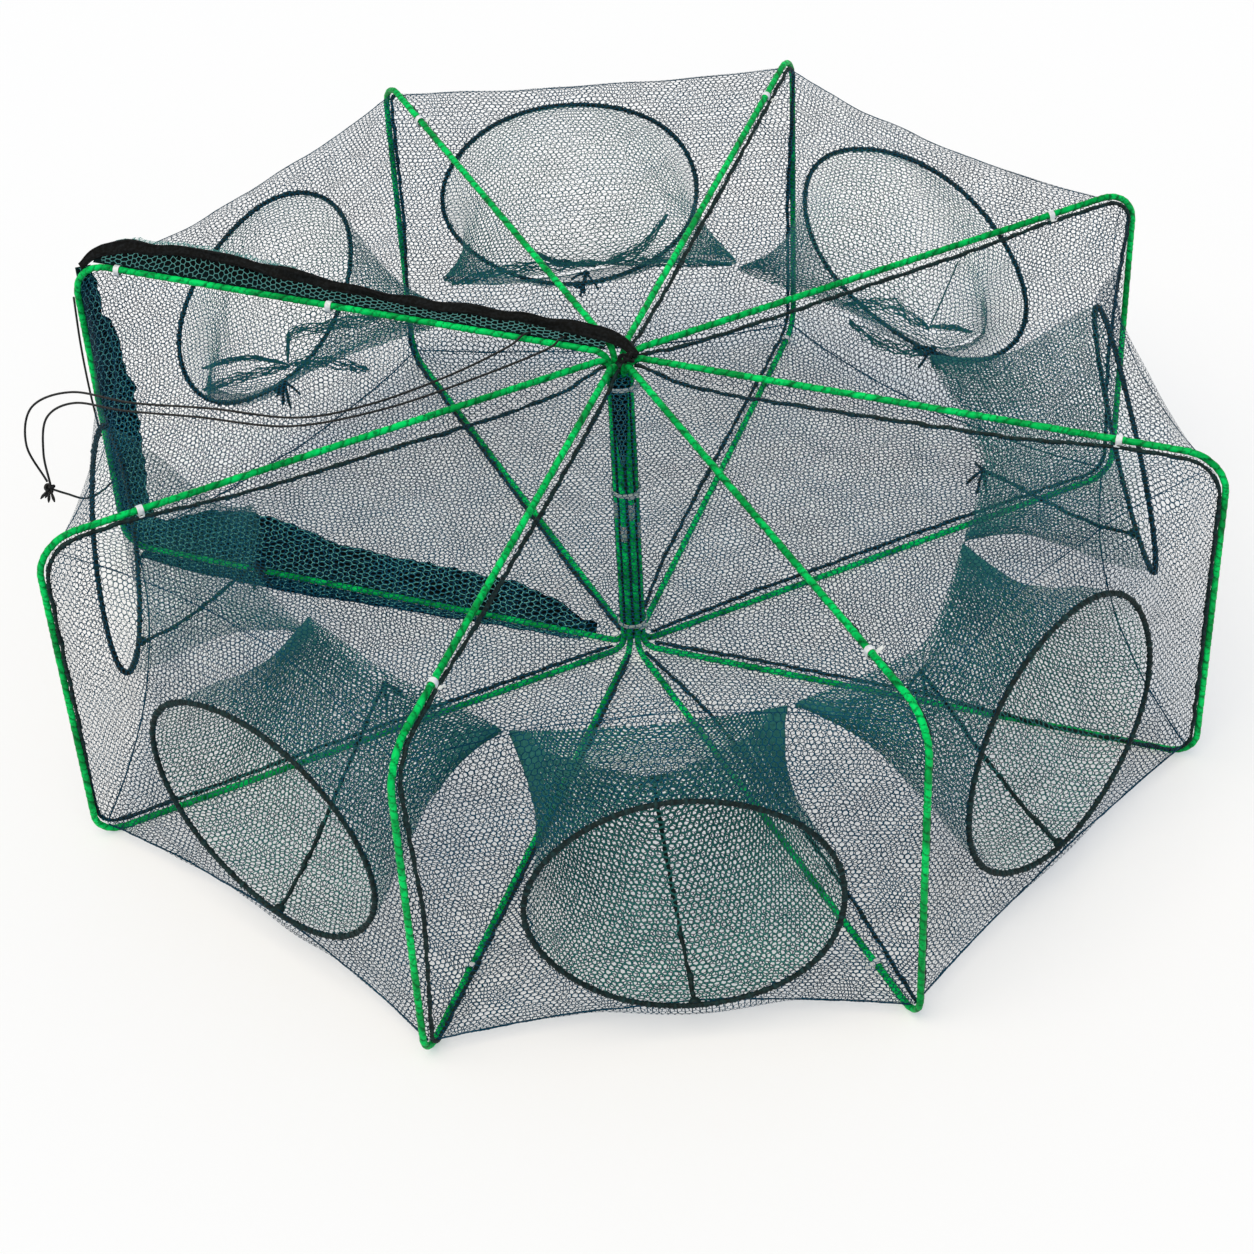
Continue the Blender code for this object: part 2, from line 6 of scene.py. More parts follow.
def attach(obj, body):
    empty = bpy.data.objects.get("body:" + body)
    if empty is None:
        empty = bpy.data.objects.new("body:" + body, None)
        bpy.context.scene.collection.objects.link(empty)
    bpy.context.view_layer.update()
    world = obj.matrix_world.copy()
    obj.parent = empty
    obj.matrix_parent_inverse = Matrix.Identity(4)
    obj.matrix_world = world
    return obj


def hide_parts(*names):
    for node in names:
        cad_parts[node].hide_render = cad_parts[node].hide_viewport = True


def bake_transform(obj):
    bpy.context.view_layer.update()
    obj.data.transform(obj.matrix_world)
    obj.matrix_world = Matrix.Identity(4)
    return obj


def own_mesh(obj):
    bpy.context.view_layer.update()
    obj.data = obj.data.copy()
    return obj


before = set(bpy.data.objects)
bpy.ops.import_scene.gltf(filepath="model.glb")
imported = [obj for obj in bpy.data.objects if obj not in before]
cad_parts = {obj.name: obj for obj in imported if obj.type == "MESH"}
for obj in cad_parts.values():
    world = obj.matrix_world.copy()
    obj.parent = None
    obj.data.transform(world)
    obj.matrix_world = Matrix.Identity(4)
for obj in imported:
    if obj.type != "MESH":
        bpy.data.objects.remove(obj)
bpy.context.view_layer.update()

# Camera. The photograph was taken from in front of the trap and above it with a long lens,
# turned a little, so the trap fills the square frame and its drawstring mouth is at the left.
CAMERA_TARGET = Vector((-0.009, -0.146, 0.150))
CAMERA_DISTANCE = 2.262
CAMERA_AZIMUTH = np.radians(-1.627)
CAMERA_ELEVATION = np.radians(41.328)
CAMERA_ROLL = np.radians(-3.078)
CAMERA_LENS = 85.81  # mm, on a sensor 36 mm wide

towards_camera = Vector((
    np.sin(CAMERA_AZIMUTH) * np.cos(CAMERA_ELEVATION),
    -np.cos(CAMERA_AZIMUTH) * np.cos(CAMERA_ELEVATION),
    np.sin(CAMERA_ELEVATION),
))
level_right = (-towards_camera).cross(Vector((0, 0, 1))).normalized()
level_up = towards_camera.cross(level_right)
camera_right = np.cos(CAMERA_ROLL) * level_right + np.sin(CAMERA_ROLL) * level_up
camera_up = towards_camera.cross(camera_right)
camera = bpy.data.objects.new("camera", bpy.data.cameras.new("camera"))
camera.data.lens = CAMERA_LENS
camera.matrix_world = (
    Matrix.Translation(CAMERA_TARGET + CAMERA_DISTANCE * towards_camera)
    @ Matrix((camera_right, camera_up, towards_camera)).transposed().to_4x4()
)
bpy.context.scene.collection.objects.link(camera)
bpy.context.scene.camera = camera


# Drawstring. Thin black braided nylon cord: two strands leave the mouth's hem at the column and
# lie over the netting to a knot outside the outer leg, one strand goes on from the knot to the
# leg, and one runs down the leg. All of it is laced to the bay behind the mouth.
CORD = 0.0018
CORD_STEP = 0.0016
CORD_SIDES = 10
MOUTH_LOOP = 8
REACH = 0.465
HEIGHT = 0.300
WIRE = 0.0052
PULL_ROUTES = {
    "pull_cord_1": (
        (-0.0640, 0.0330, 0.3008), (-0.0720, 0.0262, 0.3030), (-0.0850, 0.0170, 0.2990),
        (-0.1300, -0.0040, 0.2920), (-0.1900, -0.0290, 0.2890), (-0.2450, -0.0400, 0.2895),
        (-0.3100, -0.0250, 0.2925), (-0.3700, -0.0160, 0.2965), (-0.4150, -0.0020, 0.3000),
        (-0.4480, 0.0020, 0.2860), (-0.4580, 0.0000, 0.2520), (-0.4475, -0.0035, 0.2176),
    ),
    "pull_cord_2": (
        (-0.0385, 0.0210, 0.3026), (-0.0440, 0.0165, 0.3040), (-0.0560, 0.0075, 0.3010),
        (-0.1100, -0.0110, 0.2930), (-0.1800, -0.0370, 0.2895), (-0.2500, -0.0500, 0.2895),
        (-0.3200, -0.0350, 0.2930), (-0.3750, -0.0260, 0.2970), (-0.4120, -0.0140, 0.2985),
        (-0.4360, -0.0100, 0.2840), (-0.4440, -0.0110, 0.2520), (-0.4445, -0.0085, 0.2176),
    ),
    "pull_cord_3": (
        (-0.4456, -0.0025, 0.2093), (-0.4420, 0.0350, 0.1740), (-0.4395, 0.0900, 0.1250),
        (-0.4370, 0.1500, 0.0840), (-0.4310, 0.1748, 0.0740),
    ),
}
LEG_STAND_OFFS = (0.00075, 0.0030, 0.0030, 0.00075)
LEG_CORD_TOP = HEIGHT - 0.038
LEG_CORD_LENGTH = 0.142
KNOT_CENTRE = np.array([-0.4460, -0.0060, 0.2130])
KNOT_SIZE = 0.00118
FRAYED_ENDS = ((-0.2, -0.5, -0.85), (-0.75, -0.35, -0.6), (0.25, -0.6, -0.75), (-0.5, 0.1, -0.9))
FRAYED_LENGTH = 0.0085


def azimuth(loop):
    """The angle of a loop's plane about the column, seen from above."""
    return np.radians(112.5 - 45 * (loop - 1))


def turned(points, angle):
    """Points turned about the column."""
    c, s = np.cos(angle), np.sin(angle)
    return np.asarray(points, float) @ np.array([[c, s, 0], [-s, c, 0], [0, 0, 1]])


def lengths_along(points):
    """How far along a line each of its points is."""
    return np.concatenate([[0], np.cumsum(np.linalg.norm(np.diff(points, axis=0), axis=1))])


def points_at(wanted, along, points):
    """Places on a line at wanted lengths along it, from the length at each of its points."""
    return np.stack([np.interp(wanted, along, axis) for axis in points.T], -1)


def even_path(points, spacing, closed=False):
    """Points an even spacing apart along a line through the given ones."""
    if closed:
        points = np.vstack([points, points[:1]])
    along = lengths_along(points)
    count = max(3, round(along[-1] / spacing))
    wanted = np.linspace(0, along[-1], count + 1)[: count if closed else None]
    return points_at(wanted, along, points)


def smooth_route(knots, spacing):
    """Even points along a smooth line through all the knots.

    Between two knots it is a cubic whose slope at each is half the step between its neighbours.
    """
    knots = np.array(knots, float)
    knots = np.vstack([2 * knots[0] - knots[1], knots, 2 * knots[-1] - knots[-2]])
    t = np.linspace(0, 1, 40, endpoint=False)[:, None]
    a, b, c, d = (knots[i : len(knots) - 3 + i, None] for i in range(4))
    cubic = b + ((c - a) * t + (2 * a - 5 * b + 4 * c - d) * t**2 + (3 * b - a - 3 * c + d) * t**3) / 2
    return even_path(np.vstack([cubic.reshape(-1, 3), knots[-2:-1]]), spacing)


def grid_faces(rows, columns, wrap_rows=False, wrap_columns=False):
    """Two triangles for each cell of a grid of points, closed on itself where it wraps."""
    i = np.arange(rows if wrap_rows else rows - 1)[:, None]
    j = np.arange(columns if wrap_columns else columns - 1)[None, :]
    a = i * columns + j
    b = i * columns + (j + 1) % columns
    c = (i + 1) % rows * columns + (j + 1) % columns
    d = (i + 1) % rows * columns + j
    return np.concatenate([np.stack(t, -1).reshape(-1, 3) for t in ((a, b, c), (a, c, d))])


def carried(path, section, across, closed=False):
    """A profile carried along a path, as points and triangles.

    A point is the path's point plus the profile's first number times the direction across, made
    square to the path, plus its second number times the direction square to both.
    """
    rows = len(path)
    section = np.broadcast_to(section, (rows, *np.shape(section)[-2:]))
    sides = section.shape[1]
    along = np.roll(path, -1, axis=0) - np.roll(path, 1, axis=0) if closed else np.gradient(path, axis=0)
    along = along / np.linalg.norm(along, axis=1, keepdims=True)
    across = np.broadcast_to(np.asarray(across, float), path.shape)
    first = across - np.sum(along * across, axis=1, keepdims=True) * along
    first = first / np.linalg.norm(first, axis=1, keepdims=True)
    second = np.cross(along, first)
    points = path[:, None] + section[..., :1] * first[:, None] + section[..., 1:] * second[:, None]
    points = points.reshape(-1, 3)
    faces = grid_faces(rows, sides, wrap_rows=closed, wrap_columns=True)
    if closed:
        return points, faces
    ring = np.arange(sides)
    last = (rows - 1) * sides
    start_cap = np.stack([np.full(sides, rows * sides), (ring + 1) % sides, ring], -1)
    end_cap = np.stack([np.full(sides, rows * sides + 1), last + ring, last + (ring + 1) % sides], -1)
    return np.vstack([points, path[:1], path[-1:]]), np.concatenate([faces, start_cap, end_cap])


def round_section(radius, sides):
    """A circle's points; with a column of radii, one circle for each."""
    turn = 2 * np.pi * np.arange(sides) / sides
    circle = np.stack([np.cos(turn), np.sin(turn)], -1)
    return np.asarray(radius)[..., None] * circle


def joined(parts):
    """Several sets of points and triangles as one."""
    starts = np.cumsum([0, *[len(points) for points, _ in parts[:-1]]])
    faces = np.concatenate([faces + start for (_, faces), start in zip(parts, starts)])
    return np.concatenate([points for points, _ in parts]), faces


def piece(name, points, faces, look, body=None, shade=None, smooth=True):
    """A shown piece, which rides on a body if one is given. Its look may read shade, a value a point."""
    mesh = bpy.data.meshes.new(name)
    mesh.vertices.add(len(points))
    mesh.vertices.foreach_set("co", np.ascontiguousarray(points, np.float32).ravel())
    mesh.loops.add(faces.size)
    mesh.loops.foreach_set("vertex_index", np.ascontiguousarray(faces, np.int32).ravel())
    mesh.polygons.add(len(faces))
    mesh.polygons.foreach_set("loop_start", np.arange(0, faces.size, 3, dtype=np.int32))
    mesh.polygons.foreach_set("use_smooth", np.full(len(faces), smooth))
    mesh.update(calc_edges=True)
    if shade is not None:
        attribute = mesh.attributes.new("shade", "FLOAT", "POINT")
        attribute.data.foreach_set("value", np.asarray(shade, np.float32).ravel())
    mesh.materials.append(look)
    made = bpy.data.objects.new(name, mesh)
    bpy.context.scene.collection.objects.link(made)
    if body:
        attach(made, body)
    return made


def folds_with_mouth(made):
    """Gives a soft piece behind the mouth a mesh of its own."""
    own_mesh(made)


def colour(code):
    """A material's linear colour from an sRGB hex value."""
    parts = np.array([int(code[i : i + 2], 16) for i in (1, 3, 5)]) / 255
    linear = np.where(parts <= 0.04045, parts / 12.92, ((parts + 0.055) / 1.055) ** 2.4)
    return (*linear, 1.0)


def add_node(tree, kind, settings=None, inputs=None):
    """One node with its settings, and each input set to a value or linked from a socket."""
    node = tree.nodes.new(kind)
    for key, value in (settings or {}).items():
        setattr(node, key, value)
    for key, value in (inputs or {}).items():
        if isinstance(value, bpy.types.NodeSocket):
            tree.links.new(value, node.inputs[key])
        else:
            node.inputs[key].default_value = value
    return node


def blotches(tree, size):
    """A soft pattern in object space whose blotches are about size metres across."""
    place = add_node(tree, "ShaderNodeTexCoord").outputs["Object"]
    inputs = {"Vector": place, "Scale": 1 / size, "Detail": 2.0}
    return add_node(tree, "ShaderNodeTexNoise", inputs=inputs).outputs["Fac"]


def ranged(tree, value, low, high, to_low=0.0, to_high=1.0):
    """A value moved from one range to another, and held inside it."""
    inputs = {"Value": value, "From Min": low, "From Max": high, "To Min": to_low, "To Max": to_high}
    return add_node(tree, "ShaderNodeMapRange", inputs=inputs).outputs["Result"]


def mixed(tree, share, first, second):
    """A colour between two, by a share from 0 to 1. A mix node's colours are its inputs 6 and 7."""
    node = add_node(tree, "ShaderNodeMix", {"data_type": "RGBA"}, {0: share, 6: first, 7: second})
    return node.outputs[2]


def mottled(tree, size, low, high, first, second, most=1.0):
    """A colour in blotches about size metres across, from the first up to a share of the second."""
    first, second = (colour(c) if isinstance(c, str) else c for c in (first, second))
    return mixed(tree, ranged(tree, blotches(tree, size), low, high, 0.0, most), first, second)


def finish(name, roughness, ior=1.5, shine=0.5):
    """A material, its nodes and its shader, with its constant values set. Fibres shine little."""
    made = bpy.data.materials.new(name)
    made.use_nodes = True
    shader = made.node_tree.nodes["Principled BSDF"]
    shader.inputs["Roughness"].default_value = roughness
    shader.inputs["IOR"].default_value = ior
    shader.inputs["Specular IOR Level"].default_value = shine
    return made, made.node_tree, shader


# Braided nylon: near black, with a fine grey glint painted on each braid as a highlight. The braid is 2 mm
# long.
braided_cord, tree, shader = finish("braided_nylon", 0.5, 1.53, 0.2)
painted_glints = mottled(tree, 0.0011, 0.50, 0.72, "#0b0d0e", "#34383a")
tree.links.new(painted_glints, shader.inputs["Base Color"])

mouth_plane = azimuth(MOUTH_LOOP)
down_leg = [
    (REACH + WIRE / 2 + CORD / 2 + off, 0, LEG_CORD_TOP - LEG_CORD_LENGTH * i / 3)
    for i, off in enumerate(LEG_STAND_OFFS)
]
cord_routes = {**PULL_ROUTES, "leg_cord": turned(down_leg, mouth_plane)}

trefoil = np.linspace(0, 2 * np.pi, 90, endpoint=False)
knot_line = KNOT_CENTRE + KNOT_SIZE * np.column_stack([
    np.sin(trefoil) + 2 * np.sin(2 * trefoil),
    np.sin(3 * trefoil) * 1.2,
    np.cos(trefoil) - 2 * np.cos(2 * trefoil),
])
knot_outward = knot_line - KNOT_CENTRE + np.array([0, 0.004, 0])
knot_parts = [carried(knot_line, round_section(0.00125, 10), knot_outward, closed=True)]
for end in FRAYED_ENDS:
    direction = np.array(end) / np.linalg.norm(end)
    reach = np.linspace(0, FRAYED_LENGTH, 7)[:, None]
    strand = KNOT_CENTRE + 0.0025 * direction + direction * reach + np.array([0, 0, -9.0]) * reach**2
    widths = CORD / 2 * np.array([[1.0], [1.0], [1.1], [1.3], [1.4], [1.1], [0.5]])
    knot_parts.append(carried(strand, round_section(widths, 8), (1, 0.4, 0.2)))
points, faces = joined(knot_parts)
knot = piece("cord_knot", points, faces, braided_cord, body="frame_1")
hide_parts("drawstring_knot")

for name, route in cord_routes.items():
    line = smooth_route(route, CORD_STEP)
    across = (0.30, 0.25, 0.92) if "pull" in name else (0, 1, 0)
    points, faces = carried(line, round_section(CORD / 2, CORD_SIDES), across)
    string = piece(f"{name}_string", points, faces, braided_cord, body="frame_1")
    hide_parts(name)
    folds_with_mouth(string)
folds_with_mouth(knot)


# Studio. A white floor and a white room, lit evenly by the room and by one broad soft light from
# above and in front, so that colours render about as written and the trap keeps a soft shadow.
FLOOR_RADIUS = 4.0
FLOOR_GAP = 0.0004
ROOM_LIGHT = 0.45
ROOM_COLOUR = (0.70, 0.93, 1.27, 1)  # a little cool, against a lamp that is a little warm
SOFT_LIGHT = 1.91
SOFT_LIGHT_COLOUR = (1.24, 1.06, 0.79)
SOFT_LIGHT_SPREAD = np.radians(50)
SOFT_LIGHT_PLACE = Vector((-0.7, -0.9, 2.6))
FLOOR_WHITE = 0.42  # share of plain white that the camera sees in the floor

# Matt white paint: the camera sees it partly as plain white, so that the netting's shadow stays light.
floor_paint, tree, shader = finish("matt_white_floor", 0.9, shine=0.0)
shader.inputs["Base Color"].default_value = colour("#fdfdfd")
seen = add_node(tree, "ShaderNodeLightPath").outputs["Is Camera Ray"]
plain_white = add_node(tree, "ShaderNodeEmission", inputs={"Color": (1, 1, 1, 1), "Strength": 1.0})
share = ranged(tree, seen, 0, 1, 0.0, FLOOR_WHITE)
blend = add_node(tree, "ShaderNodeMixShader", inputs={0: share})
tree.links.new(shader.outputs["BSDF"], blend.inputs[1])
tree.links.new(plain_white.outputs[0], blend.inputs[2])
tree.links.new(blend.outputs[0], tree.nodes["Material Output"].inputs["Surface"])
around = np.linspace(0, 2 * np.pi, 64, endpoint=False)
floor_mesh = bpy.data.meshes.new("floor")
floor_rim = [(FLOOR_RADIUS * np.cos(a), FLOOR_RADIUS * np.sin(a), -FLOOR_GAP) for a in around]
floor_mesh.from_pydata(floor_rim, [], [tuple(range(len(floor_rim)))])
floor_mesh.materials.append(floor_paint)
floor = bpy.data.objects.new("floor", floor_mesh)
bpy.context.scene.collection.objects.link(floor)

room = bpy.data.worlds.new("white_room")
room.use_nodes = True
tree = room.node_tree
rays = add_node(tree, "ShaderNodeLightPath").outputs
seen = rays["Is Camera Ray"]
for ray in ("Is Glossy Ray", "Is Transmission Ray"):
    seen = add_node(tree, "ShaderNodeMath", {"operation": "MAXIMUM"}, {0: seen, 1: rays[ray]}).outputs[0]
backdrop = tree.nodes["Background"]
tree.links.new(mixed(tree, seen, ROOM_COLOUR, (1, 1, 1, 1)), backdrop.inputs["Color"])
tree.links.new(ranged(tree, seen, 0, 1, ROOM_LIGHT, 1.0), backdrop.inputs["Strength"])
bpy.context.scene.world = room

soft_light = bpy.data.objects.new("soft_light", bpy.data.lights.new("soft_light", "SUN"))
soft_light.data.energy = SOFT_LIGHT
soft_light.data.color = SOFT_LIGHT_COLOUR
soft_light.data.angle = SOFT_LIGHT_SPREAD
soft_light.matrix_world = SOFT_LIGHT_PLACE.to_track_quat("Z", "Y").to_matrix().to_4x4()
bpy.context.scene.collection.objects.link(soft_light)
bpy.context.scene.view_settings.view_transform = "Standard"


# Wire loops. Each is one closed, round-cornered loop of spring-steel wire, wound from end to
# end with bright green PVC strip whose edge laps over the turn before as a low spiral ridge.
LOOPS = range(1, 9)
LEG_GAP = 0.0010
HUB_BEND = 0.012
SHOULDER_BEND = 0.032
FOOT_BEND = 0.022
STRIP_PITCH = 0.0085
STRIP_LAP = 0.00036
LAP_RISE = 0.82  # of a turn, over which the overlap rises before it drops
WIRE_STEP = 0.0012
WIRE_SIDES = 12
HALF_BAY = np.radians(22.5)
RING = (WIRE + LEG_GAP) / (2 * np.sin(HALF_BAY))
TOP_LINE = HEIGHT - WIRE / 2
LOW_LINE = WIRE / 2


def arc(centre, radius, start, end, steps=24):
    """An arc in a loop's own plane, as out, side and up, from one angle in degrees to another."""
    angles = np.radians(np.linspace(start, end, steps + 1))
    out, up = centre[0] + radius * np.cos(angles), centre[1] + radius * np.sin(angles)
    return np.column_stack([out, np.zeros_like(out), up])


def loop_outline(inset=0.0):
    """The wire's centre line in its loop's plane, or a line inside it, as its four bends."""
    return (
        arc((RING + HUB_BEND, TOP_LINE - HUB_BEND), HUB_BEND - inset, 180, 90),
        arc((REACH - SHOULDER_BEND, TOP_LINE - SHOULDER_BEND), SHOULDER_BEND - inset, 90, 0),
        arc((REACH - FOOT_BEND, LOW_LINE + FOOT_BEND), FOOT_BEND - inset, 0, -90),
        arc((RING + HUB_BEND, LOW_LINE + HUB_BEND), HUB_BEND - inset, -90, -180),
    )


def shade_of(tree):
    """The value that a piece carries for each of its points."""
    return add_node(tree, "ShaderNodeAttribute", {"attribute_name": "shade"}).outputs["Fac"]


# PVC strip: soft, slightly shiny plastic, with dark blotches painted in as shade, brighter along each lap
# and with painted shade in the groove beside it.
pvc_strip, tree, shader = finish("green_pvc_strip", 0.40, 1.52, 0.04)
handled = mottled(tree, 0.030, 0.40, 0.62, "#019c44", "#04dc68")
blotched_painted_shade = mottled(tree, 0.004, 0.50, 0.70, handled, "#024a22", 0.7)
groove_painted_shade = mixed(tree, ranged(tree, shade_of(tree), 0.0, 0.35), colour("#023f20"), blotched_painted_shade)
tree.links.new(groove_painted_shade, shader.inputs["Base Color"])

wire_line = even_path(np.vstack(loop_outline()), WIRE_STEP, closed=True)
strip_turns = round(WIRE_STEP * len(wire_line) / STRIP_PITCH)
ring_share = np.arange(len(wire_line))[:, None] / len(wire_line)
side_share = np.arange(WIRE_SIDES)[None, :] / WIRE_SIDES
for loop in LOOPS:
    # The strip's overlap rises slowly over a turn and drops at its edge.
    wander = 0.35 * np.sin(2 * np.pi * (23 * ring_share + 0.37 * loop))
    wander = wander + 0.2 * np.sin(2 * np.pi * 61 * ring_share)
    lap_share = (ring_share * strip_turns + side_share + wander) % 1.0
    lap_height = np.clip(lap_share / LAP_RISE, 0, 1) * np.clip((1 - lap_share) / (1 - LAP_RISE), 0, 1)
    skin = WIRE / 2 - STRIP_LAP / 2 + STRIP_LAP * lap_height
    points, faces = carried(wire_line, round_section(skin, WIRE_SIDES), (0, 1, 0), closed=True)
    points = turned(points, azimuth(loop))
    name, body = f"wound_loop_{loop}", f"frame_{loop}"
    # Its lap height sets the painted shade in the groove beside each lap.
    wire = piece(name, points, faces, pvc_strip, body, lap_height)
    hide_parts(f"frame_{loop}")


# Joint sleeves. A short clear vinyl tube is pushed over the butt joint in each loop's inner leg,
# neighbours at unlike heights so that they don't crowd each other in the column.
SLEEVE_LENGTH = 0.016
SLEEVE_RADIUS = WIRE / 2 + 0.0003
SLEEVE_WALL = 0.00025
SLEEVE_HEIGHTS = (0.128, 0.150)
SLEEVE_SIDES = 16

# Clear vinyl: see-through, a little milky, with a wet shine.
clear_vinyl, tree, shader = finish("clear_vinyl", 0.18, 1.46)
shader.inputs["Base Color"].default_value = colour("#e4ebea")
shader.inputs["Transmission Weight"].default_value = 0.75
cloudy = ranged(tree, blotches(tree, 0.005), 0.35, 0.70, 0.10, 0.35)
tree.links.new(cloudy, shader.inputs["Roughness"])

sleeve_turn = 2 * np.pi * np.arange(SLEEVE_SIDES) / SLEEVE_SIDES
for loop in LOOPS:
    middle = SLEEVE_HEIGHTS[loop % 2]
    low, high = middle - SLEEVE_LENGTH / 2, middle + SLEEVE_LENGTH / 2
    outer = SLEEVE_RADIUS + SLEEVE_WALL
    profile = [(SLEEVE_RADIUS, low), (outer, low + 0.0002), (outer, high - 0.0002), (SLEEVE_RADIUS, high)]
    rings = [
        np.column_stack([RING + r * np.cos(sleeve_turn), r * np.sin(sleeve_turn), np.full(SLEEVE_SIDES, z)])
        for r, z in profile
    ]
    points = turned(np.vstack(rings), azimuth(loop))
    faces = grid_faces(len(profile), SLEEVE_SIDES, wrap_rows=True, wrap_columns=True)
    sleeve = piece(f"vinyl_sleeve_{loop}", points, faces, clear_vinyl, body=f"frame_{loop}")
    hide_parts(f"sleeve_{loop}")


# Column ties. Three clear nylon zip ties are pulled round the bundle of eight inner legs, each
# with its locking head, and the top one also holds the end of the mouth's netting.
COLUMN_TIE_WIDTH = 0.0036
COLUMN_TIE_THICKNESS = 0.0011
COLUMN_TIE_INNER = RING + WIRE / 2 + 0.0004
TAIL_THICKNESS = 0.0012
COLUMN_TIES = {
    "hub_tie_top": (COLUMN_TIE_INNER + TAIL_THICKNESS + 0.0008, HEIGHT - 0.027, -50),
    "hub_tie_middle": (COLUMN_TIE_INNER, 0.168, -75),
    "hub_tie_bottom": (COLUMN_TIE_INNER, 0.031, -60),
}


def rounded_box(width, height, power=4.0, sides=16):
    """A rounded rectangle as a profile: the curve where (x / a) to a power plus (y / b) to it is 1."""
    turn = 2 * np.pi * (np.arange(sides) + 0.5) / sides
    c, s = np.cos(turn), np.sin(turn)
    x = width / 2 * np.sign(c) * np.abs(c) ** (2 / power)
    y = height / 2 * np.sign(s) * np.abs(s) ** (2 / power)
    return np.column_stack([x, y])


# Clear nylon: milky, with a soft shine.
clear_nylon, tree, shader = finish("clear_nylon", 0.30, 1.53)
milky = mottled(tree, 0.006, 0.40, 0.65, "#c9d6d2", "#e8efec")
tree.links.new(milky, shader.inputs["Base Color"])
shader.inputs["Transmission Weight"].default_value = 0.45

for name, (inner, height, head_at) in COLUMN_TIES.items():
    middle = inner + COLUMN_TIE_THICKNESS / 2
    # The tie is pulled a little into the gaps between the legs.
    ripple = 0.00012 * np.cos(8 * (around - azimuth(1)))
    ring = np.column_stack([
        (middle + ripple) * np.cos(around), (middle + ripple) * np.sin(around), np.full_like(around, height)
    ])
    band = carried(ring, rounded_box(COLUMN_TIE_WIDTH, COLUMN_TIE_THICKNESS), (0, 0, 1), closed=True)
    facing = np.radians(head_at)
    out = np.array([np.cos(facing), np.sin(facing), 0])
    beside = np.array([-np.sin(facing), np.cos(facing), 0])
    head_line = out * (middle + 0.0012) + beside * np.linspace(-0.0024, 0.0024, 5)[:, None] + (0, 0, height)
    head = carried(head_line, rounded_box(0.0048, 0.0034), (0, 0, 1))
    tail_line = out * (middle + 0.0010) + beside * np.linspace(0.0020, 0.0065, 6)[:, None]
    tail_line = tail_line + out * np.linspace(0, 0.0018, 6)[:, None] + (0, 0, height)
    tail = carried(tail_line, rounded_box(0.0028, 0.0010), (0, 0, 1))
    points, faces = joined([band, head, tail])
    tie = piece(f"{name}_nylon", points, faces, clear_nylon, body="frame_5")
    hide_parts(name)


# Arm ties. White plastic-covered twist ties bind the netting's seam to each upper arm near its
# outer end, and to some lower arms. Each is one flat band with its cut end bent out to the side.
TIE_WIDTH = 0.0048
TIE_THICKNESS = 0.0008
TIE_OFF_FLOOR = 0.0002
TIE_HALF = WIRE / 2 + 0.0003 + TIE_THICKNESS / 2
NET_OFFSET = 0.0035  # of the netting inside the wires' centre lines
TIE_BELOW = NET_OFFSET + 0.0006 + 0.0003 + TIE_THICKNESS / 2
TIE_REACH = 0.385  # of most ties, out from the column
# Each tie's loop, how far out it is, and the side to which its end is bent.
UPPER_TIES = {
    **{f"arm_tie_{loop}": (loop, TIE_REACH, -1 if loop < 5 else 1) for loop in range(1, 8)},
    "arm_tie_8": (8, 0.240, -1),
    "arm_tie_8_outer": (8, 0.424, -1),
}
LOWER_TIES = {"lower_tie_6": (6, 0.375, 1), "lower_tie_5": (5, 0.404, -1), "lower_tie_2": (2, 0.440, -1)}

# White vinyl over a wire: dull, off-white, a little grubby.
white_vinyl, tree, shader = finish("white_vinyl", 0.45, 1.52)
grubby = mottled(tree, 0.004, 0.45, 0.75, "#eceeee", "#c6cbcb")
tree.links.new(grubby, shader.inputs["Base Color"])

crown = np.linspace(0, np.pi, 13)
crown_line = np.column_stack([np.zeros(13), TIE_HALF * np.cos(crown), TIE_HALF * np.sin(crown)])
belly = [(0, -TIE_HALF, -TIE_BELOW * 0.6), (0, -TIE_HALF * 0.8, -TIE_BELOW), (0, TIE_HALF * 0.8, -TIE_BELOW)]
belly_line = np.array([*belly, (0, TIE_HALF, -TIE_BELOW * 0.6)])
tie_loop = even_path(np.vstack([crown_line, belly_line]), 0.0008, closed=True)
tie_band = carried(tie_loop, rounded_box(TIE_WIDTH, TIE_THICKNESS), (1, 0, 0), closed=True)
end_share = np.linspace(0, 1, 8)[:, None]
end_line = np.hstack([0.0012 * end_share, TIE_HALF + 0.0062 * end_share, -0.0030 + 0.0040 * end_share**2])
end_taper = np.stack([1 - 0.45 * end_share, np.ones_like(end_share)], -1)
end_section = rounded_box(TIE_WIDTH, TIE_THICKNESS) * end_taper
tie_end = carried(end_line, end_section, (1, 0, 0))
for name, (loop, reach, side) in {**UPPER_TIES, **LOWER_TIES}.items():
    points, faces = joined([tie_band, tie_end])
    if side < 0:
        points = points * (-1, -1, 1)
    upper = name in UPPER_TIES
    if upper:
        points = turned(points + (reach, 0, TOP_LINE), azimuth(loop))
    else:
        points = turned(points * (1, 1, -1) + (reach, 0, LOW_LINE), azimuth(loop))
        points[:, 2] = np.maximum(points[:, 2], TIE_OFF_FLOOR)
        faces = faces[:, ::-1]
    tie = piece(f"{name}_vinyl", points, faces, white_vinyl, body=f"frame_{loop}")
    if upper:
        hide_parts(name)


# Netting. Each bay is lined with knotless netting of dark blue-green polyethylene twine, over
# the top, down the wall round the entrance hoop, and back in along the floor to the column.
# Its seams hang a little below some upper arms, between the ties.
NET_HOLE = 0.020
NET_CELL = 0.0048  # across a mesh, flat to flat
NET_TWINES = (0.00068, 0.00072, 0.00084)  # over the top, down the wall and below
TWINE_CHANGE = 0.02  # the length of wall over which the twine changes
NET_SAG = 0.010
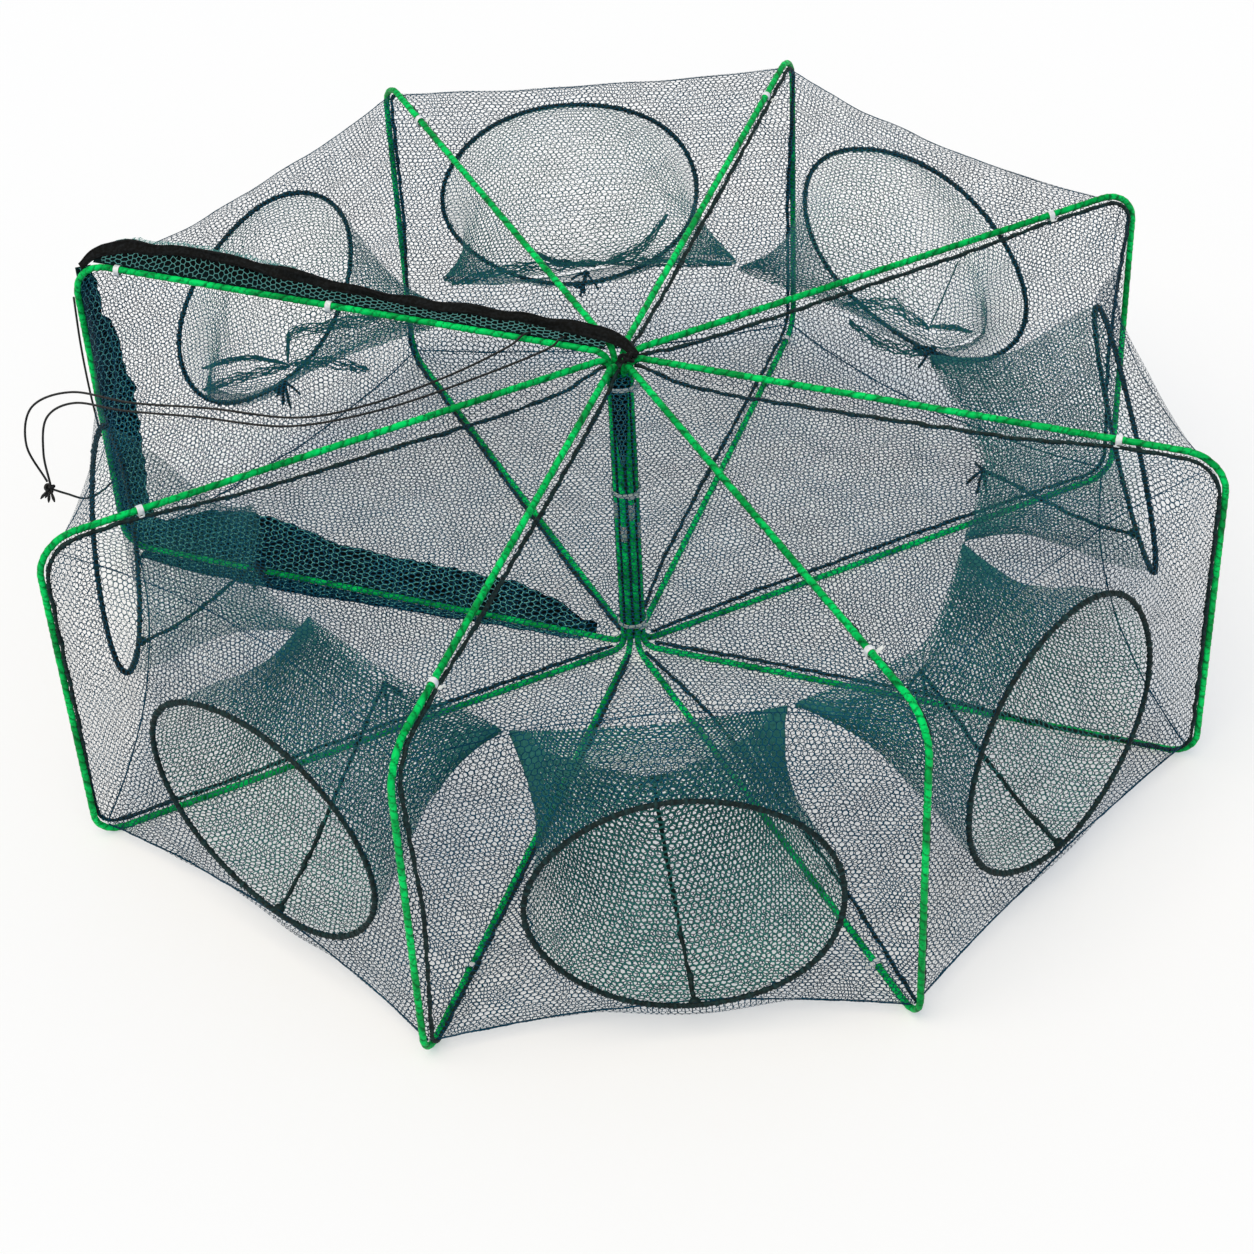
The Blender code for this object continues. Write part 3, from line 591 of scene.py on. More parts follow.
# How far each bay's free edges, between its loops, are drawn in at mid-bay, above and below.
UPPER_BOWS = {1: 0.008, 2: 0.020, 3: 0.031, 4: 0.028, 5: 0.028, 6: 0.028, 7: 0.033, 8: 0.014}
LOWER_BOWS = {1: 0.020, 2: 0.025, 3: 0.025, 4: 0.006, 5: 0.018, 6: 0.016, 7: 0.022, 8: 0.020}
HOOP_SET_BACK = 0.0066  # behind the line between two outer legs
HOOP_APOTHEM = REACH * np.cos(HALF_BAY) - HOOP_SET_BACK
# Each hoop is tied in by hand: how far its middle is to a side and above the floor, its half width
# and half height, how far it stands in from the wall, leans in at its top, and slants sideways.
HOOPS = {
    1: (0.022, 0.166, 0.114, 0.096, -0.002, 0.002, 0.01),
    2: (0.034, 0.149, 0.121, 0.100, 0.004, 0.006, 0.05),
    3: (0.036, 0.154, 0.118, 0.099, 0.019, 0.017, 0.02),
    4: (-0.003, 0.151, 0.112, 0.107, 0.002, 0.007, 0.00),
    5: (0.014, 0.135, 0.111, 0.101, -0.002, 0.001, -0.03),
    6: (0.023, 0.140, 0.114, 0.096, 0.001, -0.001, 0.02),
    7: (0.004, 0.144, 0.100, 0.096, 0.018, -0.003, 0.00),
    8: (-0.011, 0.158, 0.102, 0.096, -0.001, 0.005, -0.02),
}
# How far each loop's seam hangs below its upper arm, at most.
SEAM_DROPS = {1: 0.0012, 2: 0.0035, 3: 0.0055, 4: 0.0135, 5: 0.0008, 6: 0.0075, 7: 0.0140, 8: 0.0}
MOUTH_BAY = 8
BAYS = range(1, 9)


def bisector(bay):
    """The angle of a bay's middle, between its loop and the next."""
    return azimuth(bay) - HALF_BAY


def follows_its_loops(made, bay):
    """Rides a soft piece behind the mouth on loop 1 with a mesh of its own, and bakes any other's placing
    into its mesh.
    """
    if bay == MOUTH_BAY:
        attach(made, "frame_1")
        folds_with_mouth(made)
        return
    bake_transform(made)


def hoop_gap(bay, y, z):
    """How far a place on a wall is from its hoop's middle, as a share of the way to the hoop."""
    aside, height, half_width, half_height, _, _, slant = HOOPS[bay]
    return np.hypot((y - aside - slant * (z - height)) / half_width, (z - height) / half_height)


def hoop_plane(bay, z):
    """How far out from the column a hoop's plane stands at a height."""
    _, height, _, half_height, inset, lean, _ = HOOPS[bay]
    return HOOP_APOTHEM - inset - lean * (z - height) / half_height


def hoop_line(bay, turn):
    """Points of a hoop's line in its bay's axes, from an angle round it."""
    aside, height, half_width, half_height, _, _, slant = HOOPS[bay]
    z = height + half_height * np.sin(turn)
    y = aside + half_width * np.cos(turn) + slant * (z - height)
    return np.stack([hoop_plane(bay, z), y, z], -1)


def seam_drop(loop, reach):
    """How far a seam hangs below its upper arm: nothing at column and tie, most a fifth of the way."""
    share = (reach - NET_HOLE) / (TIE_REACH - NET_HOLE)
    return SEAM_DROPS[loop] * np.interp(share, [0, 0.08, 0.20, 0.45, 0.80, 1], [0, 0.8, 1, 0.85, 0.6, 0])


def soft_waves(a, b, seed, size, count=7):
    """Gentle random waves over a sheet, about -1 to 1, from a few crossing sines."""
    random = np.random.default_rng(seed)
    total = np.zeros(np.broadcast(a, b).shape)
    for _ in range(count):
        heading = random.uniform(0, 2 * np.pi)
        length = size * random.uniform(0.7, 1.6)
        along = a * np.cos(heading) + b * np.sin(heading)
        total += np.sin(2 * np.pi * along / length + random.uniform(0, 2 * np.pi))
    return total / np.sqrt(count)


def twine_net(knots, kept, twine, wraps=False):
    """Flat twine between the knots of a honeycomb, as triangles.

    knots[i, j] is a knot in zigzag row i. It joins its two neighbours in that row, and the row
    after it where i + j is even, or the row before it where i + j is odd. Each knot is a small
    triangle whose corners stand in the angles between its three twines, half a twine's width
    from each, and each twine is the strip between two such triangles. The twine's width is one
    number, or one for each knot.
    """
    rows, columns = kept.shape
    i, j = np.indices((rows, columns))
    forward = (i + j) % 2 == 0
    onward = np.roll(knots, -1, axis=1) - knots
    backward = np.roll(knots, 1, axis=1) - knots
    upright = np.where(forward[..., None], np.roll(knots, -1, axis=0), np.roll(knots, 1, axis=0)) - knots
    ways = (backward, onward, upright)
    units = [v / np.maximum(np.linalg.norm(v, axis=-1, keepdims=True), 1e-9) for v in ways]
    corners = []
    for a, b in ((0, 1), (0, 2), (1, 2)):
        middle = units[a] + units[b]
        length = np.maximum(np.linalg.norm(middle, axis=-1, keepdims=True), 0.35)
        sine = np.sqrt(np.clip(1 - (length / 2) ** 2, 0.09, 1))
        corners.append(knots + middle / length * (np.asarray(twine)[..., None] / 2) / sine)
    points = np.stack(corners, axis=2).reshape(-1, 3)
    at = ((i * columns + j) * 3)[..., None] + np.arange(3)
    opposite, before, after = at[..., 0], at[..., 1], at[..., 2]
    beside = np.roll(at, -1, axis=1)
    above = np.roll(at, -1, axis=0)
    row_kept = kept & np.roll(kept, -1, axis=1)
    if not wraps:
        row_kept[:, -1] = False
    rise_kept = kept & np.roll(kept, -1, axis=0) & forward
    rise_kept[-1] = False
    faces = [
        np.stack([opposite, after, before], -1)[kept & forward],
        np.stack([before, after, opposite], -1)[kept & ~forward],
    ]
    strips = (
        (row_kept & forward, (opposite, beside[..., 1], beside[..., 0], after)),
        (row_kept & ~forward, (after, beside[..., 0], beside[..., 1], opposite)),
        (rise_kept, (before, after, above[..., 2], above[..., 1])),
    )
    for chosen, (a, b, c, d) in strips:
        faces += [np.stack([a, b, c], -1)[chosen], np.stack([a, c, d], -1)[chosen]]
    used, renumbered = np.unique(np.concatenate(faces), return_inverse=True)
    return points[used], renumbered.reshape(-1, 3)


def zigzag(i, j):
    """The row of each knot of a honeycomb: its zigzag rows rise and fall by a sixth of their gap."""
    return i + np.where((i + j) % 2 == 0, 1, -1) / 6


# The netting's section along a loop: out under the arm, round the shoulder, down and back in.
_, net_shoulder, net_foot, _ = loop_outline(NET_OFFSET)
net_section = np.vstack([
    [[NET_HOLE, 0, TOP_LINE - NET_OFFSET]], net_shoulder, net_foot, [[NET_HOLE, 0, LOW_LINE + NET_OFFSET]]
])
section_along = lengths_along(net_section)
net_length = section_along[-1]
upper_edge = REACH - SHOULDER_BEND - NET_HOLE + np.radians(45) * (SHOULDER_BEND - NET_OFFSET)
lower_edge = net_length - (REACH - FOOT_BEND - NET_HOLE + np.radians(45) * (FOOT_BEND - NET_OFFSET))


def bay_surface(along, side, bay):
    """Points of a bay's netting in its own axes, from a length along its section and a side share.

    The free edges between the loops are drawn in, most at mid-bay, the upper panel hangs a
    little, the wall is held out flat round the hoop, and the lower panel lies on the floor.
    """
    out = np.interp(along, section_along, net_section[:, 0])
    up = np.interp(along, section_along, net_section[:, 2])
    on_top = along <= upper_edge
    below = along >= lower_edge
    on_wall = ~on_top & ~below
    from_below = (net_length - along) / (net_length - lower_edge)
    panel_share = np.clip(np.where(on_top, along / upper_edge, from_below), 0, 1)
    from_middle = (2 * np.clip((along - upper_edge) / (lower_edge - upper_edge), 0, 1) - 1) ** 2
    edge_bow = np.where(along < (upper_edge + lower_edge) / 2, UPPER_BOWS[bay], LOWER_BOWS[bay])
    wall_bow = HOOP_SET_BACK + (edge_bow - HOOP_SET_BACK) * from_middle
    bow = np.where(on_wall, wall_bow, edge_bow * panel_share**2.4)
    middle = 1 - side**2
    x = out * np.cos(HALF_BAY) - bow * middle
    y = side * (out * np.sin(HALF_BAY) - 0.0005)
    own_seam = seam_drop(bay, out) * np.clip(side, 0, 1) ** 3
    next_seam = seam_drop(bay % 8 + 1, out) * np.clip(-side, 0, 1) ** 3
    hang = NET_SAG * np.sin(np.pi * panel_share) * middle + (own_seam + next_seam)
    z = up - hang * on_top
    held = np.clip((1.40 - hoop_gap(bay, y, z)) / 0.40, 0, 1) * on_wall
    held = held * held * (3 - 2 * held) * np.clip((1 - np.abs(side)) / 0.10, 0, 1)
    x = x + (hoop_plane(bay, z) - x) * held
    waves = soft_waves(along, y, 40 + bay, 0.085) * middle
    x = x + 0.0011 * waves * on_wall * (1 - held)
    z = z - 0.0050 * np.clip((along - lower_edge) / 0.030, 0, 1)
    z = z + np.where(below, 0.0010 * (1 + waves) * middle, 0.0012 * waves * on_top)
    return np.stack([x, y, z], -1)


# Polyethylene twine: dull and fibrous, blue-grey where light falls on it, with uneven dye.
net_twine, tree, shader = finish("blue_green_twine", 0.62, 1.5, 0.04)
dyed = mottled(tree, 0.060, 0.35, 0.65, "#07364a", "#0c4a62")
fuzzed = mottled(tree, 0.0022, 0.45, 0.75, dyed, "#061722", 0.55)
tree.links.new(fuzzed, shader.inputs["Base Color"])

row_gap = 1.5 * NET_CELL / np.sqrt(3)
column_gap = NET_CELL / 2
for bay in BAYS:
    random = np.random.default_rng(100 + bay)
    half_width = REACH * np.sin(HALF_BAY) + 3 * column_gap
    i, j = np.indices((int(net_length / row_gap) + 1, int(2 * half_width / column_gap)))
    along = zigzag(i, j) * row_gap
    across = (j - (j.shape[1] - 1) / 2) * column_gap
    stretch = 0.0016 * soft_waves(along, across, 200 + bay, 0.060)
    shift = 0.0014 * soft_waves(along, across, 300 + bay, 0.050)
    along = np.clip(along + stretch + random.normal(0, 0.00026, along.shape), 0, net_length)
    across = across + shift + random.normal(0, 0.00026, along.shape)
    width = np.interp(along, section_along, net_section[:, 0]) * np.sin(HALF_BAY)
    height = np.interp(along, section_along, net_section[:, 2])
    side = np.clip(across / width, -1, 1)
    kept = np.abs(across) < width + 0.6 * column_gap
    kept &= (along < upper_edge) | (along > lower_edge) | (hoop_gap(bay, side * width, height) > 0.97)
    knots = turned(bay_surface(along, side, bay), bisector(bay))
    changes = [upper_edge, upper_edge + TWINE_CHANGE, lower_edge - TWINE_CHANGE, lower_edge]
    twine = np.interp(along, changes, np.take(NET_TWINES, [0, 1, 1, 2]))
    points, faces = twine_net(knots, kept, twine)
    net = piece(f"bay_netting_{bay}", points, faces, net_twine, smooth=False)
    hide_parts(f"net_{bay}")
    # Netting is sold by its size with the meshes closed up.
    follows_its_loops(net, bay)


# Entrance hoops. A soft oval ring of dark cord-wound plastic is laced into each wall, and the
# lacing shows as small uneven bumps all round it.
HOOP_CORD = 0.0041
HOOP_STEP = 0.0011
HOOP_SIDES = 10
HOOP_LACING = 0.0095

# Wound cord: nearly black, dusty green in blotches, with a painted highlight on the lacing's bumps.
hoop_cord, tree, shader = finish("dark_green_wound_cord", 0.6, 1.5, 0.15)
dusty = mottled(tree, 0.0035, 0.42, 0.66, "#071617", "#122c2d")
lacing_painted_highlight = mixed(tree, ranged(tree, shade_of(tree), 0.2, 1.0), dusty, colour("#1d3f40"))
tree.links.new(lacing_painted_highlight, shader.inputs["Base Color"])


def rope_section(length, radius, sides, twist, seed, bumps=0.0, bump_gap=0.0095):
    """A two-strand rope's profile at each point along it, and how much a lacing bump raises it.

    The radius swells twice round the rope, the swell turns once each twist metres, and a bump
    stands at uneven places about a gap apart.
    """
    random = np.random.default_rng(seed)
    along = np.asarray(length)[:, None]
    turn = 2 * np.pi * np.arange(sides)[None, :] / sides
    strands = 1 + 0.16 * np.cos(2 * (turn - 2 * np.pi * along / twist))
    places = np.cumsum(bump_gap * random.uniform(0.6, 1.4, int(along.max() / bump_gap / 0.9) + 4))
    sizes = random.uniform(0.4, 1.0, len(places))
    bump = np.max(sizes * np.exp(-(((along - places) / 0.0013) ** 2)), axis=1, keepdims=True)
    bump = bump * (0.75 + 0.25 * np.cos(turn - 40 * along))
    radii = radius * strands * (1 + bumps * bump)
    circle = np.stack([np.cos(turn), np.sin(turn)], -1)
    return radii[..., None] * circle, bump


for bay in BAYS:
    turn = np.linspace(0, 2 * np.pi, 400, endpoint=False)
    uneven = 1 + 0.010 * np.sin(3 * turn + bay) + 0.006 * np.sin(5 * turn + 2.3 * bay)
    oval = hoop_line(bay, turn)
    middle = oval.mean(axis=0)
    oval = middle + (oval - middle) * uneven[:, None]
    line = even_path(oval, HOOP_STEP, closed=True)
    length = HOOP_STEP * np.arange(len(line))
    radius = HOOP_CORD / 2 * 0.94
    section, bump = rope_section(length, radius, HOOP_SIDES, 0.0067, 500 + bay, 0.60, HOOP_LACING)
    points, faces = carried(line, section, (1, 0, 0), closed=True)
    points = turned(points, bisector(bay))
    # The lacing's bumps carry the cord's painted highlight.
    hoop = piece(f"entrance_ring_{bay}", points, faces, hoop_cord, shade=bump)
    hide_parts(f"hoop_{bay}")
    follows_its_loops(hoop, bay)


# Entrance funnels. A tube of the same netting in darker green runs in from each hoop and narrows
# to a wide, flat slit between the two loops, where its edge is gathered on the seam cord's knot.
# The slack funnels of bays 1, 2 and 8 have netting gathered into folds there.
FUNNEL_CELL = 0.0048
FUNNEL_MOUTH = 0.212  # a hoop's mean width
FUNNEL_LENGTH = 0.178
FUNNEL_TWINES = (0.00076, 0.00088, 0.00126)  # at the hoop, a third of the way in, and at the slit
# How thick the twine of some bays' funnels is, as a share of the others'.
FUNNEL_THICKNESSES = {1: 0.70, 2: 0.70, 3: 0.72, 5: 1.50, 7: 0.42, 8: 0.70}
# How far the lips stand apart at mid-slit: in most bays, and in the others.
SLIT_GAP = 0.014
SLIT_GAPS = {1: 0.003, 2: 0.003, 4: 0.024, 5: 0.052, 8: 0.002}
SLIT_PLAN_POWER = 0.8  # under 1 it spreads the slit's points towards its corners
SLIT_LIP_POWER = 0.6  # under 1 it keeps the lips apart nearly to the corners
SLIT_SIDE_CLEARANCE = 0.003  # of its corners from the loops' planes
FUNNEL_INSET = 0.0029  # of its outer end behind the hoop's line
PLEAT_COUNT = 18
PLEATS = 0.0020
WAIST = 0.13
# The reach and height of each slit's corner on its own loop, its corner on the next and its middle.
# Behind the trap and beside the mouth the slack funnels' lips are drawn back nearly to the hoop.
SLITS = {
    1: ((0.375, 0.140), (0.306, 0.180), (0.402, 0.106)),
    2: ((0.290, 0.185), (0.330, 0.197), (0.396, 0.088)),
    3: ((0.274, 0.200), (0.274, 0.175), (0.284, 0.168)),
    4: ((0.274, 0.175), (0.274, 0.155), (0.292, 0.146)),
    5: ((0.274, 0.155), (0.274, 0.150), (0.284, 0.132)),
    6: ((0.274, 0.150), (0.274, 0.148), (0.272, 0.160)),
    7: ((0.274, 0.130), (0.336, 0.076), (0.300, 0.115)),
    8: ((0.364, 0.180), (0.300, 0.150), (0.388, 0.106)),
}


def funnel_surface(share, turn, bay):
    """Points of a funnel in its bay's axes, from a share of its length and an angle round it.

    It runs straight in from the hoop's oval to the slit: two flat lips whose corners are held
    at both loops and whose middle is held by the seam cord. Its sides are drawn in half-way,
    and pleats grow towards the slit.
    """
    c, s = np.cos(turn), np.sin(turn)
    plan = np.sign(c) * np.abs(c) ** SLIT_PLAN_POWER
    lip = np.sign(s) * np.abs(s) ** SLIT_LIP_POWER
    from_corner = 1 - np.abs(plan) ** 1.25
    near, far, (middle_reach, middle_height) = SLITS[bay]
    own, other = (1 + plan) / 2, (1 - plan) / 2
    slit_x = (near[0] * own + far[0] * other) * np.cos(HALF_BAY)
    slit_x = slit_x + (middle_reach - slit_x) * from_corner
    near_side, far_side = (end[0] * np.sin(HALF_BAY) - SLIT_SIDE_CLEARANCE for end in (near, far))
    slit_y = near_side * own - far_side * other
    slit_z = near[1] * own + far[1] * other
    slit_z = slit_z + (middle_height - (near[1] + far[1]) / 2) * from_corner + SLIT_GAP / 2 * lip
    slit_z = slit_z + (SLIT_GAPS.get(bay, SLIT_GAP) - SLIT_GAP) * np.clip(lip, 0, 1) * from_corner
    pull = share**2 * (3 - 2 * share)
    hoop = hoop_line(bay, turn) - np.array([FUNNEL_INSET, 0, 0])
    x = hoop[..., 0] + (slit_x - hoop[..., 0]) * share
    y = hoop[..., 1] + (slit_y - hoop[..., 1]) * pull
    y = y * (1 - WAIST * np.sin(np.pi * share))
    z = hoop[..., 2] + (slit_z - hoop[..., 2]) * pull
    waves = soft_waves(share * 0.17, turn * 0.09, 600 + bay, 0.045)
    creases = np.cos(PLEAT_COUNT * turn + 2 * waves + 3 * share) * share * (1.25 - share)
    push = PLEATS * creases + 0.0012 * waves * np.sin(np.pi * share)
    return np.stack([x, y + push * c * 0.5, z + push * s], -1)


# Funnel twine: the same polyethylene twine in a darker green.
funnel_twine, tree, shader = finish("dark_green_twine", 0.62, 1.5, 0.1)
dyed = mottled(tree, 0.050, 0.35, 0.65, "#24625f", "#33766f")
fuzzed = mottled(tree, 0.0022, 0.45, 0.75, dyed, "#0c2e31", 0.6)
tree.links.new(fuzzed, shader.inputs["Base Color"])

ROPE_STEP = 0.0015


def laced_rope(line, radius, seed, across, bumps=0.45, sides=7):
    """A twisted rope along a line: it wanders a little, and its lacing stands out as small bumps."""
    line = even_path(line, ROPE_STEP)
    length = ROPE_STEP * np.arange(len(line))
    wander = [0.22 * radius * soft_waves(length, 0, seed + turn, 0.016) for turn in range(3)]
    uneven = radius * (1 + 0.14 * soft_waves(length, 0, seed + 7, 0.020))
    section, bump = rope_section(length, uneven[:, None], sides, 0.0062, seed, bumps, 0.0075)
    points, faces = carried(line + np.column_stack(wander), section, across)
    return points, faces, np.append(bump.mean(axis=1).repeat(sides), [0, 0])


SEAM_CORD = 0.0030
SEAM_POINTS = 60
SEAM_PULL = 0.75  # how far it is pulled from the netting's curve towards a straight line
SEAM_SAG = 0.006
SEAM_KNOT = 0.0030  # half the knot's length
SEAM_KNOT_RADIUS = 0.0026
TIED_END = 1.5  # how much bigger the knot on the hoop is
SEAM_TAILS = (
    (-0.011, 0.007, -0.012), (-0.006, -0.010, -0.009), (0.004, 0.003, -0.018), (-0.004, 0.014, 0.002),
)
# The folds that a slack funnel's netting gathers into from its knot: width and points in bay axes.
FOLDS = {
    1: (
        (0.0090, ((0.365, 0.134, 0.121), (0.385, 0.072, 0.120), (0.400, 0.000, 0.109))),
        (0.0080, ((0.400, 0.000, 0.109), (0.370, -0.054, 0.126), (0.335, -0.114, 0.142))),
        (0.0090, ((0.400, -0.005, 0.109), (0.405, -0.039, 0.120), (0.410, -0.063, 0.149))),
        (0.0050, ((0.400, 0.004, 0.106), (0.402, 0.036, 0.111), (0.406, 0.062, 0.122))),
    ),
    2: (
        (0.0120, (
            (0.355, 0.061, 0.120), (0.365, 0.040, 0.124), (0.375, 0.020, 0.124),
            (0.385, 0.004, 0.110), (0.392, -0.006, 0.103),
        )),
        (0.0050, ((0.392, -0.006, 0.105), (0.395, -0.025, 0.111), (0.398, -0.047, 0.114))),
        (0.0110, (
            (0.360, 0.058, 0.100), (0.375, 0.041, 0.080), (0.385, 0.019, 0.072), (0.395, 0.002, 0.071),
        )),
        (0.0030, ((0.392, -0.006, 0.105), (0.400, -0.012, 0.131), (0.408, -0.022, 0.171))),
    ),
    8: (
        (0.0120, ((0.388, 0.004, 0.114), (0.372, -0.028, 0.105), (0.360, -0.060, 0.084))),
        (0.0100, (
            (0.388, 0.006, 0.117), (0.388, -0.003, 0.142), (0.366, -0.028, 0.147),
            (0.342, -0.061, 0.149), (0.330, -0.077, 0.162),
        )),
        (0.0090, ((0.388, 0.004, 0.112), (0.402, 0.042, 0.117), (0.415, 0.080, 0.118))),
        (0.0050, ((0.388, 0.006, 0.115), (0.402, 0.039, 0.135), (0.415, 0.078, 0.140))),
    ),
}
FOLD_STRANDS = 9
FOLD_TWINE = 0.0010
FOLD_STEP = 0.002


def gathered_fold(width, points, seed):
    """The strands of a gathered fold: they part and cross at its middle, and meet at its ends."""
    line = smooth_route(points, FOLD_STEP)
    share = np.linspace(0, 1, len(line))
    strands = []
    for number in range(FOLD_STRANDS):
        aside = width * ((number + 0.5) / FOLD_STRANDS - 0.5) * np.sin(np.pi * share) ** 0.6
        aside = aside + 0.14 * width * soft_waves(FOLD_STEP * np.arange(len(line)), 0, seed + number, 0.014)
        strand = line + aside[:, None] * np.array([0.5, 0, 0.85])
        strands.append(laced_rope(strand, FOLD_TWINE / 2, seed + number, (1, 0, 0), 0.4, 5)[:2])
    return strands


funnel_columns = 2 * round(np.pi * FUNNEL_MOUTH / FUNNEL_CELL)
funnel_rows = round(FUNNEL_LENGTH / (1.5 * FUNNEL_CELL / np.sqrt(3)))
for bay in BAYS:
    random = np.random.default_rng(700 + bay)
    i, j = np.indices((funnel_rows, funnel_columns))
    share = (zigzag(i, j) + 0.17) / (funnel_rows - 0.66)
    turn = 2 * np.pi * j / funnel_columns
    share = np.clip(share + random.normal(0, 0.0016, share.shape), 0, 1)
    turn = turn + random.normal(0, 0.0024, share.shape)
    knots = turned(funnel_surface(share, turn, bay), bisector(bay))
    twine = FUNNEL_THICKNESSES.get(bay, 1.0) * np.interp(share, [0, 0.35, 1], FUNNEL_TWINES)
    points, faces = twine_net(knots, np.ones(share.shape, bool), twine, wraps=True)
    funnel = piece(f"funnel_netting_{bay}", points, faces, funnel_twine, smooth=False)
    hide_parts(f"funnel_{bay}")

    # The seam cord runs up the middle of the lower side, from the hoop to a knot on the lips.
    share = np.linspace(0, 1, SEAM_POINTS)
    seam = funnel_surface(share, np.full(SEAM_POINTS, -np.pi / 2), bay) + np.array([0, 0, -0.0012])
    straight = seam[0] + (seam[-1] - seam[0]) * share[:, None]
    seam = (1 - SEAM_PULL) * seam + SEAM_PULL * straight
    seam = seam - np.array([0, 0, SEAM_SAG]) * np.sin(np.pi * share)[:, None]
    runs = [laced_rope(seam, SEAM_CORD / 2, 620 + bay, (0, 1, 0), bumps=0.6)]
    for number, tail in enumerate(SEAM_TAILS):
        tail_share = np.linspace(0, 1, 12)[:, None]
        tail_line = seam[-1] + np.array(tail) * tail_share + np.array([0, 0, -0.006]) * tail_share**2
        runs.append(laced_rope(tail_line, SEAM_CORD / 2.6, 640 + 8 * bay + number, (0.3, 1, 0.2)))
    knot_along = np.linspace(-SEAM_KNOT, SEAM_KNOT, 7)[:, None]
    knot_section = round_section(SEAM_KNOT_RADIUS * np.sqrt(1.02 - (knot_along / SEAM_KNOT) ** 2), 10)
    knot_line = seam[-1] + knot_along * np.array([[0.2, 1.0, 0.3]])
    tied_line = seam[0] + TIED_END * knot_along * np.array([[0.1, 1.0, 0.1]]) + np.array([0, 0, 0.001])
    tied = carried(tied_line, TIED_END * knot_section, (1, 0, 0))
    knots = [carried(knot_line, knot_section, (1, 0, 0)), tied]
    points, faces = joined([run[:2] for run in runs] + knots)
    bump = np.concatenate([run[2] for run in runs])
    bump = np.append(bump, np.full(len(points) - len(bump), 0.3))
    points = turned(points, bisector(bay))
    seam_cord = piece(f"seam_cord_{bay}", points, faces, hoop_cord, shade=bump)
    follows_its_loops(seam_cord, bay)
    if bay in FOLDS:
        strands = [gathered_fold(*fold, 670 + 40 * bay + 8 * n) for n, fold in enumerate(FOLDS[bay])]
        points, faces = joined([strand for fold in strands for strand in fold])
        points = turned(points, bisector(bay))
        folds = piece(f"gathered_folds_{bay}", points, faces, funnel_twine)
        follows_its_loops(folds, bay)
    follows_its_loops(funnel, bay)


# Seam ropes. Where two bays meet, their edges are bunched and laced into one dark rope, which runs
# just inside each loop: beside or below the upper arm, down the outer leg, and in along the floor.
SEAM_ROPE = 0.0030
SEAM_INSET = 0.0034
# How far each rope stands to a side of its loop's plane: at the start and the end of the upper arm,
# half-way down the leg, at the foot, and at four places in along the lower arm.
ROPE_PLACES = (0.0, 0.92, 1.5, 2.0, 2.25, 2.5, 2.8, 3.0)
ROPE_SIDES = {
    1: (-0.0034, -0.0034, -0.0034, 0.0040, 0.0048, 0.0052, 0.0060, 0.003),
    2: (-0.0046, -0.0042, 0.0040, 0.0042, 0.0060, 0.0085, 0.0095, 0.003),
    3: (-0.0048, -0.0044, 0.0042, 0.0042, 0.0070, 0.0080, 0.0070, 0.003),
    4: (-0.0048, -0.0044, -0.0036, -0.0042, -0.0042, 0.0050, 0.0058, 0.003),
    5: (0.0034, 0.0034, 0.0034, 0.0042, 0.0140, 0.0190, 0.0150, 0.003),
    6: (0.0044, 0.0034, 0.0095, 0.0046, 0.0048, 0.0050, 0.0055, 0.003),
    7: (0.0048, 0.0042, 0.0036, -0.0042, -0.0050, -0.0055, -0.0050, -0.003),
}
LEG_INSETS = {3: 0.0060, 6: 0.0030}  # of two ropes, further in from the wire half-way down the leg
EDGE_TWINES = (0.0007, 0.0013)  # along a bay's upper and lower free edge
ROPE_SOFTENED = 15  # points over which a rope's bends are softened


def softened(values, count):
    """Values averaged with their neighbours, count at a time, most weight on the middle one."""
    kernel = np.hanning(count) / np.hanning(count).sum()
    return np.convolve(values, kernel, mode="valid")


_, rope_shoulder, rope_foot, _ = loop_outline(SEAM_INSET)
rope_base = np.vstack([
    [[0.014, 0, TOP_LINE - SEAM_INSET]], rope_shoulder, rope_foot, [[0.018, 0, LOW_LINE + SEAM_INSET]]
])
run_of_base = np.concatenate([
    [0], np.linspace(0.93, 1.07, len(rope_shoulder)), np.linspace(1.95, 2.05, len(rope_foot)), [3]
])
base_along = lengths_along(rope_base)
for loop, sides in ROPE_SIDES.items():
    along = np.linspace(0, base_along[-1], 500)
    run = np.interp(along, base_along, run_of_base)
    line = points_at(along, base_along, rope_base)
    line[:, 1] = np.interp(run, ROPE_PLACES, sides)
    line[:, 0] -= LEG_INSETS.get(loop, 0) * np.clip(1 - (2 * (run - 1.5)) ** 2, 0, 1)
    line[:, 2] -= seam_drop(loop, line[:, 0]) * (run < 1)
    margin = ROPE_SOFTENED // 2
    line[margin:-margin] = np.column_stack([softened(axis, ROPE_SOFTENED) for axis in line.T])
    points, faces, bump = laced_rope(line, SEAM_ROPE / 2, 800 + 9 * loop, (0, 1, 0), bumps=0.5)
    points = turned(points, azimuth(loop))
    name, body = f"seam_rope_{loop}", f"frame_{loop}"
    rope = piece(name, points, faces, hoop_cord, body, bump)
    across = tuple(turned([[0, 1, 0]], azimuth(loop))[0])
    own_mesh(rope)

for bay in BAYS:
    side = np.linspace(-0.995, 0.995, 120)
    edges = [
        laced_rope(bay_surface(np.full(120, edge), side, bay), twine / 2, 900 + bay, (0, 0, 1), 0.3, 6)
        for edge, twine in zip((upper_edge, lower_edge), EDGE_TWINES)
    ]
    points, faces = joined([edge[:2] for edge in edges])
    points = turned(points, bisector(bay))
    edge_twine = piece(f"edge_twine_{bay}", points, faces, net_twine)
    follows_its_loops(edge_twine, bay)


